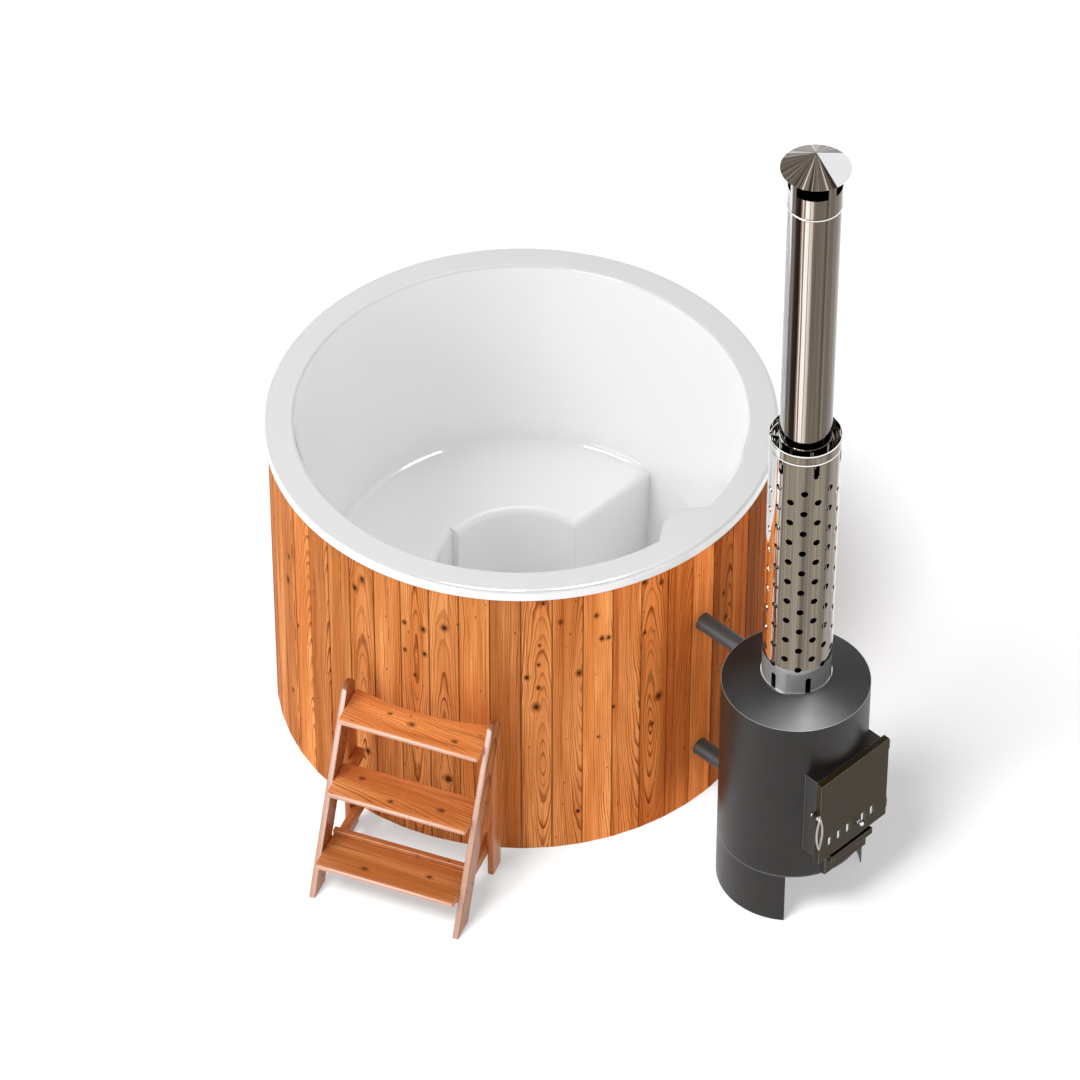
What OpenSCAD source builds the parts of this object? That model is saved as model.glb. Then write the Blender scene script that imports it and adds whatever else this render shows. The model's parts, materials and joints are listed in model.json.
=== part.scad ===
/* [Tub] */
// Outer diameter over the rim
tub_d = 1600; // [1500:10:1800]
// Height from the floor to the top of the rim
tub_h = 1116; // [1080:2:1180]
// Width of the flat rim, outer edge to the start of the well
rim_w = 93; // [80:1:105]
// Height of the lip that hangs over the boards
rim_lip_h = 35; // [28:1:45]
// How far the lip stands out past the boards
rim_overhang = 11; // [10:0.5:14]
// Thickness of the moulded liner
liner_t = 8; // [6:0.5:9]
// Thickness of the outer lip
lip_t = 6; // [5:0.5:7]
// How far the backrest leans in from rim to seat
backrest_lean = 107; // [90:1:120]
// How far the leg-room wall leans in from seat to floor
leg_wall_lean = 18; // [12:1:24]
// Height of the seat above the floor outside
seat_h = 478; // [460:2:500]
// Height of the bathing floor above the floor outside
well_floor_z = 100; // [96:1:120]
// Diameter of the round footwell in front of the seat
footwell_d = 500; // [460:5:540]
// Step back of the seat front on one side
seat_jog = 23; // [15:1:30]
// Radius of the crease between seat and backrest
seat_crease = 25; // [16:1:32]
// How far the flat connection panel stands in from the rim edge
panel_in = 54; // [50:1:62]
// Width of the flat connection panel
panel_w = 84; // [80:1:100]

/* [Cladding and frame] */
// Thickness of the upright boards
board_t = 20; // [18:0.5:22]
// Width of the joint between two boards
board_gap = 0.6; // [0.4:0.1:1]
// Depth of the groove along each board edge
board_groove = 2.5; // [1.5:0.25:3]
// Height of the floor joists
joist_h = 60; // [60:1:66]
// Width of a joist or stud
timber_w = 45; // [40:1:50]
// Distance between joists
joist_pitch = 210; // [200:2:220]
// Thickness of the plywood rings and base panel
ply_t = 18; // [16:1:19]

/* [Pipes] */
// Outer diameter of the two water pipes
pipe_d = 56; // [50:1:58]
// Wall of the water pipes
pipe_wall = 5; // [4.5:0.25:6]
// Height of the lower pipe
pipe_low_z = 222; // [222:1:235]
// Height of the upper pipe
pipe_high_z = 765; // [740:1:775]
// Free length of pipe between boards and heater
heater_gap = 190; // [160:5:240]

/* [Heater] */
// Diameter of the heater body
heater_d = 456; // [450:2:480]
// Height of the heater body's top edge
heater_top_z = 826; // [820:1:850]
// Height of the stand under the body
stand_h = 193; // [190:1:194]
// Sheet thickness of the body
shell_t = 3; // [2.5:0.5:4]
// Thickness of plates welded into the heater
plate_t = 4; // [3:0.5:4.5]
// Rise of the sloping top plate
top_rise = 34; // [28:1:40]
// Outer diameter of the firebox
firebox_d = 350; // [340:2:356]
// Height of the firebox roof
firebox_top_z = 700; // [690:1:710]
// Open angle at the front of the stand
stand_open = 101; // [90:1:110]
// Sideways offset of the heater from the pipes
heater_side = -27; // [-30:1:-20]

/* [Door] */
// Width of the fire door
door_w = 301; // [296:1:310]
// Height of the fire door
door_h = 328; // [320:1:334]
// Height of the door's lower edge
door_z = 316; // [316:1:320]
// How far the door face stands out past the body
door_reach = 27.5; // [27:0.5:32]
// Depth of the folded door edge
door_fold = 22; // [20:0.5:22]
// Width of an air slot
slot_w = 16; // [14:0.5:17]
// Height of an air slot
slot_h = 42; // [38:1:44]
// Distance between air slots
slot_pitch = 40.5; // [40:0.25:42]
// Length of the slot that the air knob moves in
knob_slot_w = 32; // [30:0.5:34]
// Diameter of the air knob's ball
knob_d = 15; // [14:0.5:17]
// Height of the latch loop
latch_h = 137; // [125:1:145]
// Width of the latch loop
latch_w = 37; // [34:0.5:38]
// Diameter of the latch wire
latch_wire = 8; // [7:0.5:8]
// Width of the ash box
ash_w = 184; // [176:1:188]

/* [Chimney] */
// Outer diameter of the flue pipe
flue_d = 155.6; // [150:0.2:160]
// Wall of the flue pipe
flue_t = 1.2; // [1:0.1:1.5]
// Outer diameter of the perforated guard
guard_d = 213.2; // [205:0.2:218]
// Height of the perforated guard
guard_h = 947; // [940:1:960]
// Diameter of a guard hole
hole_d = 22; // [18:0.5:24]
// Height between holes in one column
hole_pitch = 80; // [78:0.5:82]
// Width of the open slots at the guard's ends
vent_w = 17; // [14:0.5:19]
// Height of the open slots at the guard's ends
vent_h = 66; // [58:1:68]
// Height of the flue pipe's top end
flue_top_z = 2770; // [2700:5:2900]
// Diameter of the rain cap
cap_d = 203; // [195:1:215]
// Height of the rain cap's cone
cap_h = 54; // [48:1:60]
// Height of the smoke windows under the cap
window_h = 58; // [50:1:62]
// Angle that each smoke window spans
window_angle = 70; // [60:1:76]

/* [Ladder] */
// Width over both sides
ladder_w = 500; // [460:2:560]
// Thickness of the ladder sides and legs
ladder_t = 20; // [18:0.5:24]
// Height of the lowest tread's top
first_tread_z = 144; // [140:1:155]
// Rise from tread to tread
tread_rise = 220; // [214:1:224]
// Going from tread to tread
tread_going = 103; // [100:1:106]
// Depth of a tread
tread_d = 145; // [140:1:150]
// Thickness of a tread
tread_t = 24; // [20:0.5:26]
// How far a tread's nose stands out past the sides
nose_out = 58; // [50:1:62]
// Gap between the boards and the ladder's rear legs
ladder_gap = 23; // [15:1:50]

/* [Hidden] */
$fn = 96;

// Clearances
seat_gap = 0.3;
run_gap = 0.05;
eps = 1;

// Tub
rim_r = tub_d / 2;
clad_r = rim_r - rim_overhang;
clad_in_r = clad_r - board_t;
well_r = rim_r - rim_w;
seat_r = well_r - backrest_lean;
leg_r = seat_r - leg_wall_lean;
rim_round = 12;
well_round = 8;
floor_fillet = 70;
seat_round = 22;
bench_x = -12;
crease_run = 30;
jog_angle = 189;
panel_x = well_r - panel_in;
panel_flare = 1.34;
panel_z = well_floor_z + 40;
panel_drop = 54;
flange_z = tub_h - liner_t;

// Cladding and frame
board_count = 52;
board_angle = 360 / board_count;
boards_per_side = board_count / 4;
board_top_z = flange_z - 4;
ring_out_r = clad_in_r - seat_gap;
frame_gap = 4;
ring_w = ring_out_r - (well_r + liner_t + frame_gap);
pipe_board_i = (boards_per_side - 1) / 2;
stud_count = 8;
base_z = joist_h + ply_t;
joist_count = 7;
insulation_r = leg_r - 40;

// Drain
drain_x = 100;
drain_r = 25;
drain_wall = 3;
drain_z = joist_h - drain_r - 1;
strainer_r = 38;
strainer_t = 3;
valve_out = 46;
valve_y = clad_r + valve_out;
valve_r = 28;
valve_len = 66;
tail_r = 16.5;
tail_len = 26;
tail_bore = 12.5;
stem_r = 6;
lever_l = 96;

// Pipes
pipe_r = pipe_d / 2;
pipe_bore = pipe_r - pipe_wall;
pipe_end_x = panel_x - 7;
flange_t = 6;
flange_r = pipe_r + 13;
nut_t = 12;
nut_r = pipe_r + 14;
grille_t = 2.5;
grille_cup = 6;
port_half = pipe_r + 12;

// Heater
heater_r = heater_d / 2;
heater_x = clad_r + heater_gap + heater_r;
body_z = stand_h + plate_t;
top_z = heater_top_z + top_rise;
firebox_r = firebox_d / 2;
firebox_in = firebox_r - plate_t;
flue_r = flue_d / 2;
flue_in = flue_r - flue_t;
spigot_r = flue_in - seat_gap;
spigot_up = 45;
spigot_top_z = top_z + spigot_up;
guard_r = guard_d / 2;
base_ring_t = 2.4;
ledge_w = 10;
ledge_t = 8;
ash_room_h = 103;
grate_z = body_z + ash_room_h;
grate_t = 12;

// Door, all measured from the heater's axis
door_x = heater_r + door_reach;
door_t = 4;
fold_t = 3;
neck_w = door_w - 21;
fold_gap = 2;
neck_h = door_h - 2 * fold_t - 2 * fold_gap;
neck_z = door_z + fold_t + fold_gap;
neck_t = 4;
rope_w = 8;
neck_x = door_x - door_t - rope_w - 1;
air_up = 60.5;
air_z = door_z + air_up;
first_slot_y = -102;
right_slot_y = 45.5;
slots_left = [for (i = [0 : 2]) first_slot_y + i * slot_pitch];
slots_right = [for (i = [0 : 1]) right_slot_y + i * slot_pitch];
slots = concat(slots_left, slots_right);
knob_slot_y = 12.25;
knob_slot_h = 9;
knob_y = knob_slot_y + slot_pitch / 4;
stem_d = 8;
slider_t = 2;
slider_h = slot_h + 10;
slider_y0 = slots[0] - slot_w / 2 - 1.2;
slider_y1 = slots[4] + slot_w / 2 + 4;
guide_h = 7;
hinge_y = door_w / 2 + 7.5;
hinge_x = door_x - 11;
hinge_low = 36;
hinge_high = 40;
hinge_zs = [door_z + hinge_low, door_z + door_h - hinge_high];
knuckle_r = 6;
knuckle_h = 20;
bracket_h = 14;
hinge_pin_r = 3;
latch_y = -(door_w / 2 + 9.5);
latch_drop = 124;
latch_z = door_z + door_h - latch_drop;
latch_x = door_x + 6.5;
spindle_r = 4;
cam_reach = -latch_y - neck_w / 2 - 0.5;

// Ash box and drawer
ash_z = stand_h + 12;
ash_top_z = grate_z;
ash_t = 3;
ash_x = heater_r + 1;
tray_t = 2;
tray_w = ash_w - 2 * ash_t - 6;
tray_z = ash_z + ash_t + seat_gap;
tray_h = 56;
tray_back = -128;
drawer_t = 2.5;
lip_reach = 27.7;
lip_h = 21.5;
drawer_drop = 18;
drawer_top_z = door_z - drawer_drop;

// Chimney
guard_t = 1;
guard_columns = 16;
column_phase = -46;
first_hole_z = 105;
holes_in_column = 10;
vent_count = 6;
vent_phase = -88;
guard_top_z = top_z + guard_h;
collar_h = 39;
collar_t = 1.2;
flue_joint_z = guard_top_z + 20;
flue_overlap = 35;
bead_r = 2.4;
spacer_count = 3;
spacer_h = 22;
spacer_t = 2;
sleeve_r = flue_r + seat_gap + flue_t;
sleeve_lap = 64;
sleeve_z = flue_top_z - sleeve_lap;
cap_t = 1.2;
cap_up = 70;
cap_z = flue_top_z + cap_up;
cap_r = cap_d / 2;
window_count = 4;
window_phase = -54;

// Ladder
ladder_azimuth = -66.4;
lean = tread_going / tread_rise;
lean_angle = atan(lean);
side_depth = 83;
leg_back = 361;
ladder_reach = clad_r + ladder_gap + leg_back;
leg_depth = 66;
side_top_r = 36;
half_in = ladder_w / 2 - ladder_t;
tread_zs = [for (i = [0 : 2]) first_tread_z + i * tread_rise];
tub_clearance = 46;
bearer_w = 28;
bearer_h = 34;
crossbar_t = 20;
crossbar_h = 96;
crossbar_up = 15;
screw_r = 4.5;
screw_h = 1.6;
screw_in = 20;
screw_pitch = 42;

// Colours
wood = [0.76, 0.43, 0.22];
pale_wood = [0.78, 0.62, 0.42];
gel_coat = [0.93, 0.93, 0.93];
black_paint = [0.16, 0.16, 0.16];
door_paint = [0.24, 0.22, 0.18];
polished = [0.72, 0.71, 0.69];
dull_steel = [0.45, 0.45, 0.46];
grey_plastic = [0.55, 0.56, 0.58];

// Points of an arc round a centre, from one angle to another
function arc(cx, cy, r, a0, a1, n = 6) =
    [for (i = [0 : n]) let (a = a0 + (a1 - a0) * i / n) [cx + r * cos(a), cy + r * sin(a)]];

// Placing
module at_heater() { translate([heater_x, heater_side, 0]) children(); }
module along_x() { rotate([0, 90, 0]) children(); }
module ring(r_out, r_in, h) {
    difference() {
        cylinder(r = r_out, h = h);
        translate([0, 0, -eps]) cylinder(r = r_in, h = h + 2 * eps);
    }
}
module box_at(x0, x1, y0, y1, z0, z1) {
    translate([x0, y0, z0]) cube([x1 - x0, y1 - y0, z1 - z0]);
}

// The space inside the liner, grown outward by t
module well_space(t) {
    difference() {
        rotate_extrude() polygon(concat(
            [[0, well_floor_z - t]],
            arc(leg_r - floor_fillet, well_floor_z + floor_fillet, floor_fillet + t, -90, 0, 5),
            [[seat_r + t, seat_h]],
            t > 0 ? [[well_r + t, tub_h - t], [0, tub_h - t]] : concat(
                arc(well_r + well_round, tub_h - well_round, well_round, 180, 90, 4),
                [[well_r + well_round, tub_h + eps], [0, tub_h + eps]])));
        bench(t);
        panel_prism(t, 1, well_floor_z - 2 * liner_t, tub_h + 2 * eps);
    }
    panel_prism(t, -1, panel_z - t, tub_h - panel_drop);
}

// The seat, cut back by t under its skin
module bench(t) {
    step_r = footwell_d / 2 + t;
    lap_r = step_r + seat_jog + seat_round;
    intersection() {
        union() {
            bench_back(step_r + seat_jog, t);
            rotate_extrude(angle = jog_angle - asin(t / footwell_d * 2) - 90, start = 90)
                polygon(concat(
                    bench_nose(step_r, t),
                    [[step_r, 0], [lap_r, 0], [lap_r, seat_h - t]]));
        }
        rotate([90, 0, 0])
            linear_extrude(height = 2 * rim_r, center = true)
                polygon(concat(
                    [[-rim_r, 0], [bench_x - t, 0]],
                    arc(bench_x - seat_round, seat_h - seat_round, seat_round - t, 0, 90, 4),
                    [[bench_x - seat_round - crease_run, seat_h + seat_crease]],
                    [[-rim_r, seat_h + seat_crease]]));
    }
}

// The whole seat; its crease ends a little way into the sloping backrest
module bench_back(r, t) {
    slope = atan(backrest_lean / (tub_h - well_round - seat_h));
    crease_x = seat_r - seat_crease / tan(45 + slope / 2) + seat_gap;
    crease_z = seat_h + seat_crease;
    rotate_extrude(angle = 180, start = 90)
        polygon(concat(
            [[rim_r, 0], [rim_r, crease_z - (seat_crease + t) * sin(slope)]],
            arc(crease_x, crease_z, seat_crease + t, -slope, -90, 6),
            bench_nose(r, t),
            [[r, 0]]));
}
function bench_nose(r, t) =
    arc(r + seat_round - t, seat_h - seat_round, seat_round - t, 90, 180, 4);

// Upright prism outside (side 1) or inside (side -1) the flat panel
module panel_prism(t, side, z0, z1) {
    slant = sqrt(1 + panel_flare * panel_flare);
    half = panel_w / 2 + t * side * (panel_flare - slant);
    reach = 105;
    translate([0, 0, z0])
        linear_extrude(height = z1 - z0)
            polygon([
                [panel_x + t, -half],
                [panel_x + t, half],
                [panel_x + t + side * reach, half + panel_flare * reach],
                [panel_x + t + side * reach, -half - panel_flare * reach]]);
}

module rim() {
    rotate_extrude()
        polygon(concat(
            [[0, flange_z], [rim_r - lip_t, flange_z], [rim_r - lip_t, tub_h - rim_lip_h]],
            [[rim_r, tub_h - rim_lip_h]],
            arc(rim_r - rim_round, tub_h - rim_round, rim_round, 0, 90, 5),
            [[0, tub_h]]));
}

module pipe_holes(r, x0, x1) {
    for (z = [pipe_low_z, pipe_high_z])
        translate([x0, 0, z]) along_x() cylinder(r = r, h = x1 - x0);
}

module tub_liner() {
    color(gel_coat)
        difference() {
            union() {
                rim();
                well_space(liner_t);
            }
            well_space(0);
            pipe_holes(pipe_r + seat_gap, panel_x - eps, panel_x + liner_t + eps);
            translate([drain_x, 0, 0]) cylinder(r = drain_r + seat_gap, h = seat_h);
        }
}

// Cladding
module board() {
    half_out = clad_r * tan(board_angle / 2) - board_gap / 2;
    half_in_side = clad_in_r * tan(board_angle / 2) - board_gap / 2;
    linear_extrude(height = board_top_z)
        polygon([
            [clad_in_r, -half_in_side], [clad_in_r, half_in_side],
            [clad_r - board_groove, half_out], [clad_r, half_out - board_groove],
            [clad_r, -half_out + board_groove], [clad_r - board_groove, -half_out]]);
}
module boards_round(side, left_out = -1) {
    for (i = [0 : boards_per_side - 1])
        if (i != left_out)
            rotate([0, 0, side * 90 + (i - (boards_per_side - 1) / 2) * board_angle]) board();
}
module cladding_heater_side() { color(wood) boards_round(0, pipe_board_i); }
module pipe_board() {
    color(wood) difference() {
        board();
        pipe_holes(pipe_r + 1, clad_in_r - eps, clad_r + eps);
    }
}
module cladding_far_side() {
    color(wood) difference() {
        boards_round(1);
        translate([drain_x, clad_in_r - 2 * board_t, drain_z])
            rotate([-90, 0, 0]) cylinder(r = drain_r + 1, h = 4 * board_t);
    }
}
module cladding_rear() { color(wood) boards_round(2); }
module cladding_ladder_side() { color(wood) boards_round(3); }

// Frame under and behind the boards
module wall_studs() {
    color(pale_wood)
        for (i = [0 : stud_count - 1])
            rotate([0, 0, (i + 0.5) * 360 / stud_count])
                box_at(ring_out_r - ring_w, ring_out_r - 2, -timber_w / 2, timber_w / 2,
                    base_z + ply_t, flange_z - ply_t - seat_gap);
}
module frame_rings() {
    color(pale_wood) for (z = [base_z, flange_z - ply_t])
        translate([0, 0, z]) ring(ring_out_r, ring_out_r - ring_w, ply_t);
}
module base_joists() {
    color(pale_wood)
        for (i = [0 : joist_count - 1])
            let (x = (i - (joist_count - 1) / 2) * joist_pitch,
                 far_x = abs(x) + timber_w / 2,
                 half = sqrt(pow(ring_out_r, 2) - far_x * far_x))
                box_at(x - timber_w / 2, x + timber_w / 2, -half, half, 0, joist_h);
}
module base_panel() {
    color(pale_wood) translate([0, 0, joist_h]) difference() {
        cylinder(r = ring_out_r, h = ply_t);
        translate([drain_x, 0, -eps]) cylinder(r = drain_r + 2, h = ply_t + 2 * eps);
    }
}
module floor_insulation() {
    color([0.86, 0.86, 0.8]) translate([0, 0, base_z]) difference() {
        cylinder(r = insulation_r, h = well_floor_z - liner_t - base_z);
        translate([drain_x, 0, -eps]) cylinder(r = drain_r + 2, h = well_floor_z);
    }
}

// Drain
module drain_strainer() {
    color(polished) translate([drain_x, 0, well_floor_z]) difference() {
        cylinder(r = strainer_r, h = strainer_t);
        for (a = [0 : 45 : 315])
            rotate([0, 0, a]) translate([13, 0, -eps]) cylinder(r = 3, h = strainer_t + 2 * eps);
    }
}
module drain_run(r, z_top, y_end) {
    translate([drain_x, 0, drain_z]) {
        cylinder(r = r, h = z_top - drain_z);
        sphere(r = r);
        rotate([-90, 0, 0]) cylinder(r = r, h = y_end);
    }
}
module drain_elbow() {
    color(grey_plastic) difference() {
        drain_run(drain_r, well_floor_z, valve_y - valve_len / 2);
        drain_run(drain_r - drain_wall, well_floor_z + eps, valve_y);
    }
}
module drain_valve() {
    color(polished) translate([drain_x, valve_y, drain_z]) difference() {
        union() {
            rotate([-90, 0, 0]) translate([0, 0, -valve_len / 2]) cylinder(r = valve_r, h = valve_len);
            rotate([-90, 0, 0]) cylinder(r = tail_r, h = valve_len / 2 + tail_len);
            cylinder(r = stem_r + 5, h = valve_r + 6);
        }
        rotate([-90, 0, 0]) cylinder(r = tail_bore, h = valve_len + tail_len);
        translate([0, 0, valve_r]) cylinder(r = stem_r + run_gap, h = 10);
    }
}
module drain_lever() {
    color([0.7, 0.12, 0.1]) translate([drain_x, valve_y, drain_z]) {
        translate([0, 0, valve_r + seat_gap]) cylinder(r = stem_r, h = 10);
        translate([0, 0, valve_r + 6 + seat_gap]) linear_extrude(height = 5) {
            circle(r = 12);
            translate([0, -8]) square([lever_l, 16]);
            translate([lever_l, 0]) circle(r = 8);
        }
    }
}

// Water connections
module wall_flanges() {
    color(gel_coat) for (z = [pipe_low_z, pipe_high_z])
        translate([panel_x - flange_t, 0, z]) along_x()
            ring(flange_r, pipe_r + seat_gap, flange_t);
}
module lock_nuts() {
    color(grey_plastic) for (z = [pipe_low_z, pipe_high_z])
        translate([panel_x + liner_t, 0, z]) along_x() difference() {
            cylinder(r = nut_r, h = nut_t, $fn = 6);
            translate([0, 0, -eps]) cylinder(r = pipe_r + seat_gap, h = nut_t + 2 * eps);
        }
}
module water_grilles() {
    color(gel_coat) for (z = [pipe_low_z, pipe_high_z])
        translate([panel_x - flange_t - grille_cup, 0, z]) along_x() {
            difference() {
                cylinder(r = flange_r, h = grille_t);
                for (i = [-3 : 3])
                    let (half = sqrt(pow(pipe_r, 2) - pow(i * 8, 2)))
                        translate([i * 8 - 2, -half, -eps]) cube([4, 2 * half, grille_t + 2 * eps]);
            }
            translate([0, 0, grille_t]) ring(flange_r, flange_r - 4, grille_cup - grille_t);
        }
}
module water_pipe(z) {
    color(black_paint) difference() {
        translate([pipe_end_x, 0, z]) along_x() cylinder(r = pipe_r, h = heater_x - pipe_end_x);
        translate([pipe_end_x - eps, 0, z]) along_x() cylinder(r = pipe_bore, h = heater_x);
        at_heater() cylinder(r = heater_r + run_gap, h = heater_top_z + eps);
    }
}
module upper_pipe() { water_pipe(pipe_high_z); }
module lower_pipe() { water_pipe(pipe_low_z); }

// Heater body
module neck_hole(gap) {
    box_at(0, door_x, -neck_w / 2 - gap, neck_w / 2 + gap, neck_z - gap, neck_z + neck_h + gap);
    box_at(0, door_x, -ash_w / 2 - gap, ash_w / 2 + gap, ash_z - gap, ash_top_z + gap);
}
module heater_wall() {
    at_heater() translate([0, 0, body_z]) ring(heater_r, heater_r - shell_t, heater_top_z - body_z);
}
module port_zone() {
    for (z = [pipe_low_z, pipe_high_z])
        box_at(heater_x - heater_r - eps, heater_x - heater_r / 2, -port_half, port_half,
            max(z - port_half, body_z - eps), z + port_half);
}
module heater_shell() {
    color(black_paint) difference() {
        heater_wall();
        at_heater() neck_hole(seat_gap);
        port_zone();
    }
}

// Plates welded into the shell, with the ports for the water pipes
module port_plates() {
    color(black_paint) difference() {
        intersection() {
            heater_wall();
            port_zone();
        }
        pipe_holes(pipe_bore, clad_r, heater_x);
    }
}
module heater_top() {
    color(black_paint) at_heater() rotate_extrude() polygon([
        [heater_r, heater_top_z], [guard_r + base_ring_t, top_z], [spigot_r + seat_gap, top_z],
        [spigot_r + seat_gap, top_z - plate_t], [guard_r + base_ring_t, top_z - plate_t],
        [heater_r - shell_t - seat_gap, heater_top_z - plate_t],
        [heater_r - shell_t - seat_gap, heater_top_z], [heater_r, heater_top_z]]);
}
module heater_bottom() {
    color(black_paint) at_heater() translate([0, 0, stand_h]) cylinder(r = heater_r, h = plate_t);
}
module heater_stand() {
    color(black_paint) at_heater()
        rotate_extrude(angle = 360 - stand_open, start = stand_open / 2)
            translate([heater_r - shell_t, 0]) square([shell_t, stand_h]);
}
module firebox() {
    color(dull_steel) at_heater() difference() {
        union() {
            translate([0, 0, body_z]) ring(firebox_r, firebox_in, firebox_top_z - body_z);
            translate([0, 0, firebox_top_z - plate_t]) cylinder(r = firebox_r, h = plate_t);
            translate([0, 0, grate_z - ledge_t]) ring(firebox_r, firebox_in - ledge_w, ledge_t);
        }
        cylinder(r = spigot_r + seat_gap, h = firebox_top_z + eps);
        neck_hole(seat_gap);
    }
}
module fire_grate() {
    bar_pitch = 26;
    color([0.2, 0.19, 0.18]) at_heater() translate([0, 0, grate_z]) difference() {
        cylinder(r = firebox_in - 5, h = grate_t);
        for (i = [-5 : 5])
            let (x = i * bar_pitch, half = sqrt(pow(firebox_in - 20, 2) - x * x))
                translate([x - 6, -half, -eps]) cube([12, 2 * half, grate_t + 2 * eps]);
    }
}
module drawer_runners() {
    color(dull_steel) at_heater() for (side = [-1, 1])
        translate([0, side * (tray_w / 2 - 12) - 4, 0])
            box_at(tray_back, firebox_in - 45, 0, 8, body_z, tray_z - seat_gap);
}
module door_neck() {
    color(black_paint) at_heater() difference() {
        box_at(0, neck_x, -neck_w / 2, neck_w / 2, neck_z, neck_z + neck_h);
        box_at(-eps, neck_x + eps, -neck_w / 2 + neck_t, neck_w / 2 - neck_t,
            neck_z + neck_t, neck_z + neck_h - neck_t);
        cylinder(r = firebox_in, h = heater_top_z);
    }
}
module ash_neck() {
    color(black_paint) at_heater() difference() {
        box_at(0, ash_x, -ash_w / 2, ash_w / 2, ash_z, ash_top_z);
        box_at(-eps, ash_x + eps, -ash_w / 2 + ash_t, ash_w / 2 - ash_t,
            ash_z + ash_t, ash_top_z - ash_t);
        cylinder(r = firebox_in, h = heater_top_z);
    }
}
module ash_drawer() {
    front = ash_x + seat_gap;
    lip_x = heater_r + lip_reach + 1;
    half = ash_w / 2 - 0.5;
    lip_z = drawer_top_z - lip_h;
    color(door_paint) at_heater() {
        difference() {
            box_at(tray_back, front, -tray_w / 2, tray_w / 2, tray_z, tray_z + tray_h);
            box_at(tray_back + tray_t, front - tray_t, -tray_w / 2 + tray_t, tray_w / 2 - tray_t,
                tray_z + tray_t, tray_z + tray_h + eps);
        }
        box_at(front, front + drawer_t, -half, half, ash_z + 2, drawer_top_z);
        difference() {
            box_at(front, lip_x, -half, half, lip_z - drawer_t, drawer_top_z);
            box_at(front - eps, lip_x - drawer_t, -half + drawer_t, half - drawer_t,
                lip_z, drawer_top_z + eps);
        }
    }
}

// Fire door
module door_panel() {
    color(door_paint) at_heater() difference() {
        box_at(door_x - door_fold, door_x, -door_w / 2, door_w / 2, door_z, door_z + door_h);
        box_at(door_x - door_fold - eps, door_x - door_t, -door_w / 2 + fold_t, door_w / 2 - fold_t,
            door_z + fold_t, door_z + door_h - fold_t);
        for (y = slots) air_slot(y, slot_w, slot_h, 3);
        air_slot(knob_slot_y, knob_slot_w, knob_slot_h, knob_slot_h / 2 - 0.1);
    }
}
module air_slot(y, w, h, r) {
    translate([door_x - door_t - eps, y, air_z]) rotate([90, 0, 90])
        linear_extrude(height = door_t + 2 * eps) {
            square([w - 2 * r, h], center = true);
            square([w, h - 2 * r], center = true);
            for (i = [-1, 1], j = [-1, 1])
                translate([i * (w / 2 - r), j * (h / 2 - r)]) circle(r = r);
        }
}
module door_rope() {
    half = neck_w / 2;
    color([0.62, 0.6, 0.56]) at_heater() difference() {
        box_at(door_x - door_t - rope_w, door_x - door_t, -half, half, neck_z, neck_z + neck_h);
        box_at(0, door_x, -half + rope_w, half - rope_w, neck_z + rope_w, neck_z + neck_h - rope_w);
    }
}
module air_slider() {
    x1 = door_x - door_t - seat_gap;
    color(polished) at_heater() difference() {
        box_at(x1 - slider_t, x1, slider_y0, slider_y1, air_z - slider_h / 2, air_z + slider_h / 2);
        for (y = [slots[0], slots[1], slots[3]])
            box_at(x1 - 5, x1 + 5, y + slot_pitch / 2 - slot_w / 2, y + slot_pitch / 2 + slot_w / 2,
                air_z - slot_h / 2, air_z + slot_h / 2);
    }
}
module slider_guides() {
    x1 = door_x - door_t;
    y0 = slider_y0 - 10;
    y1 = slider_y1 + 10;
    z_in = slider_h / 2 + seat_gap;
    z_out = z_in + guide_h;
    lap = 4;
    color(dull_steel) at_heater() translate([0, 0, air_z]) {
        box_at(x1 - 5, x1, y0, y1, z_in, z_out);
        box_at(x1 - 5, x1 - slider_t - 2 * seat_gap, y0, y1, z_in - lap, z_in);
        box_at(x1 - 5, x1, y0, y1, -z_out, -z_in);
        box_at(x1 - 5, x1 - slider_t - 2 * seat_gap, y0, y1, -z_in, -z_in + lap);
    }
}
module air_knob() {
    x1 = door_x - door_t - seat_gap;
    ball_x = door_x + knob_d / 2 + 8;
    color(polished) at_heater() translate([0, knob_y, air_z]) {
        translate([x1, 0, 0]) along_x() cylinder(r = stem_d / 2, h = ball_x - x1);
        translate([door_x + 1, 0, 0]) along_x() cylinder(r = stem_d / 2 + 2, h = 2.5);
        translate([ball_x, 0, 0]) sphere(r = knob_d / 2);
    }
}

// Door hinges
module door_knuckles() {
    color(door_paint) at_heater() for (z = hinge_zs)
        translate([hinge_x, hinge_y, z + seat_gap]) difference() {
            union() {
                cylinder(r = knuckle_r, h = knuckle_h);
                box_at(-3, 3, -7.5, 0, 0, knuckle_h);
            }
            translate([0, 0, -eps]) cylinder(r = hinge_pin_r + run_gap, h = knuckle_h + 2 * eps);
        }
}
module hinge_brackets() {
    arm_y = hinge_y - neck_w / 2;
    color(black_paint) at_heater() for (z = hinge_zs)
        translate([hinge_x, hinge_y, z - bracket_h]) difference() {
            union() {
                cylinder(r = knuckle_r, h = bracket_h);
                box_at(-knuckle_r - 8, 0, -4, knuckle_r, 0, bracket_h);
                box_at(-knuckle_r - 30, -knuckle_r - 7.5, -arm_y, knuckle_r, 0, bracket_h);
            }
            translate([0, 0, -eps]) cylinder(r = hinge_pin_r + run_gap / 2, h = bracket_h + 2 * eps);
        }
}
module hinge_pins() {
    color(dull_steel) at_heater() for (z = hinge_zs)
        translate([hinge_x, hinge_y, z - bracket_h - 2]) {
            cylinder(r = hinge_pin_r, h = bracket_h + knuckle_h + 2 + 2 * seat_gap);
            translate([0, 0, bracket_h + knuckle_h + 2 + 2 * seat_gap])
                cylinder(r = hinge_pin_r + 1.5, h = 3);
        }
}

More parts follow.
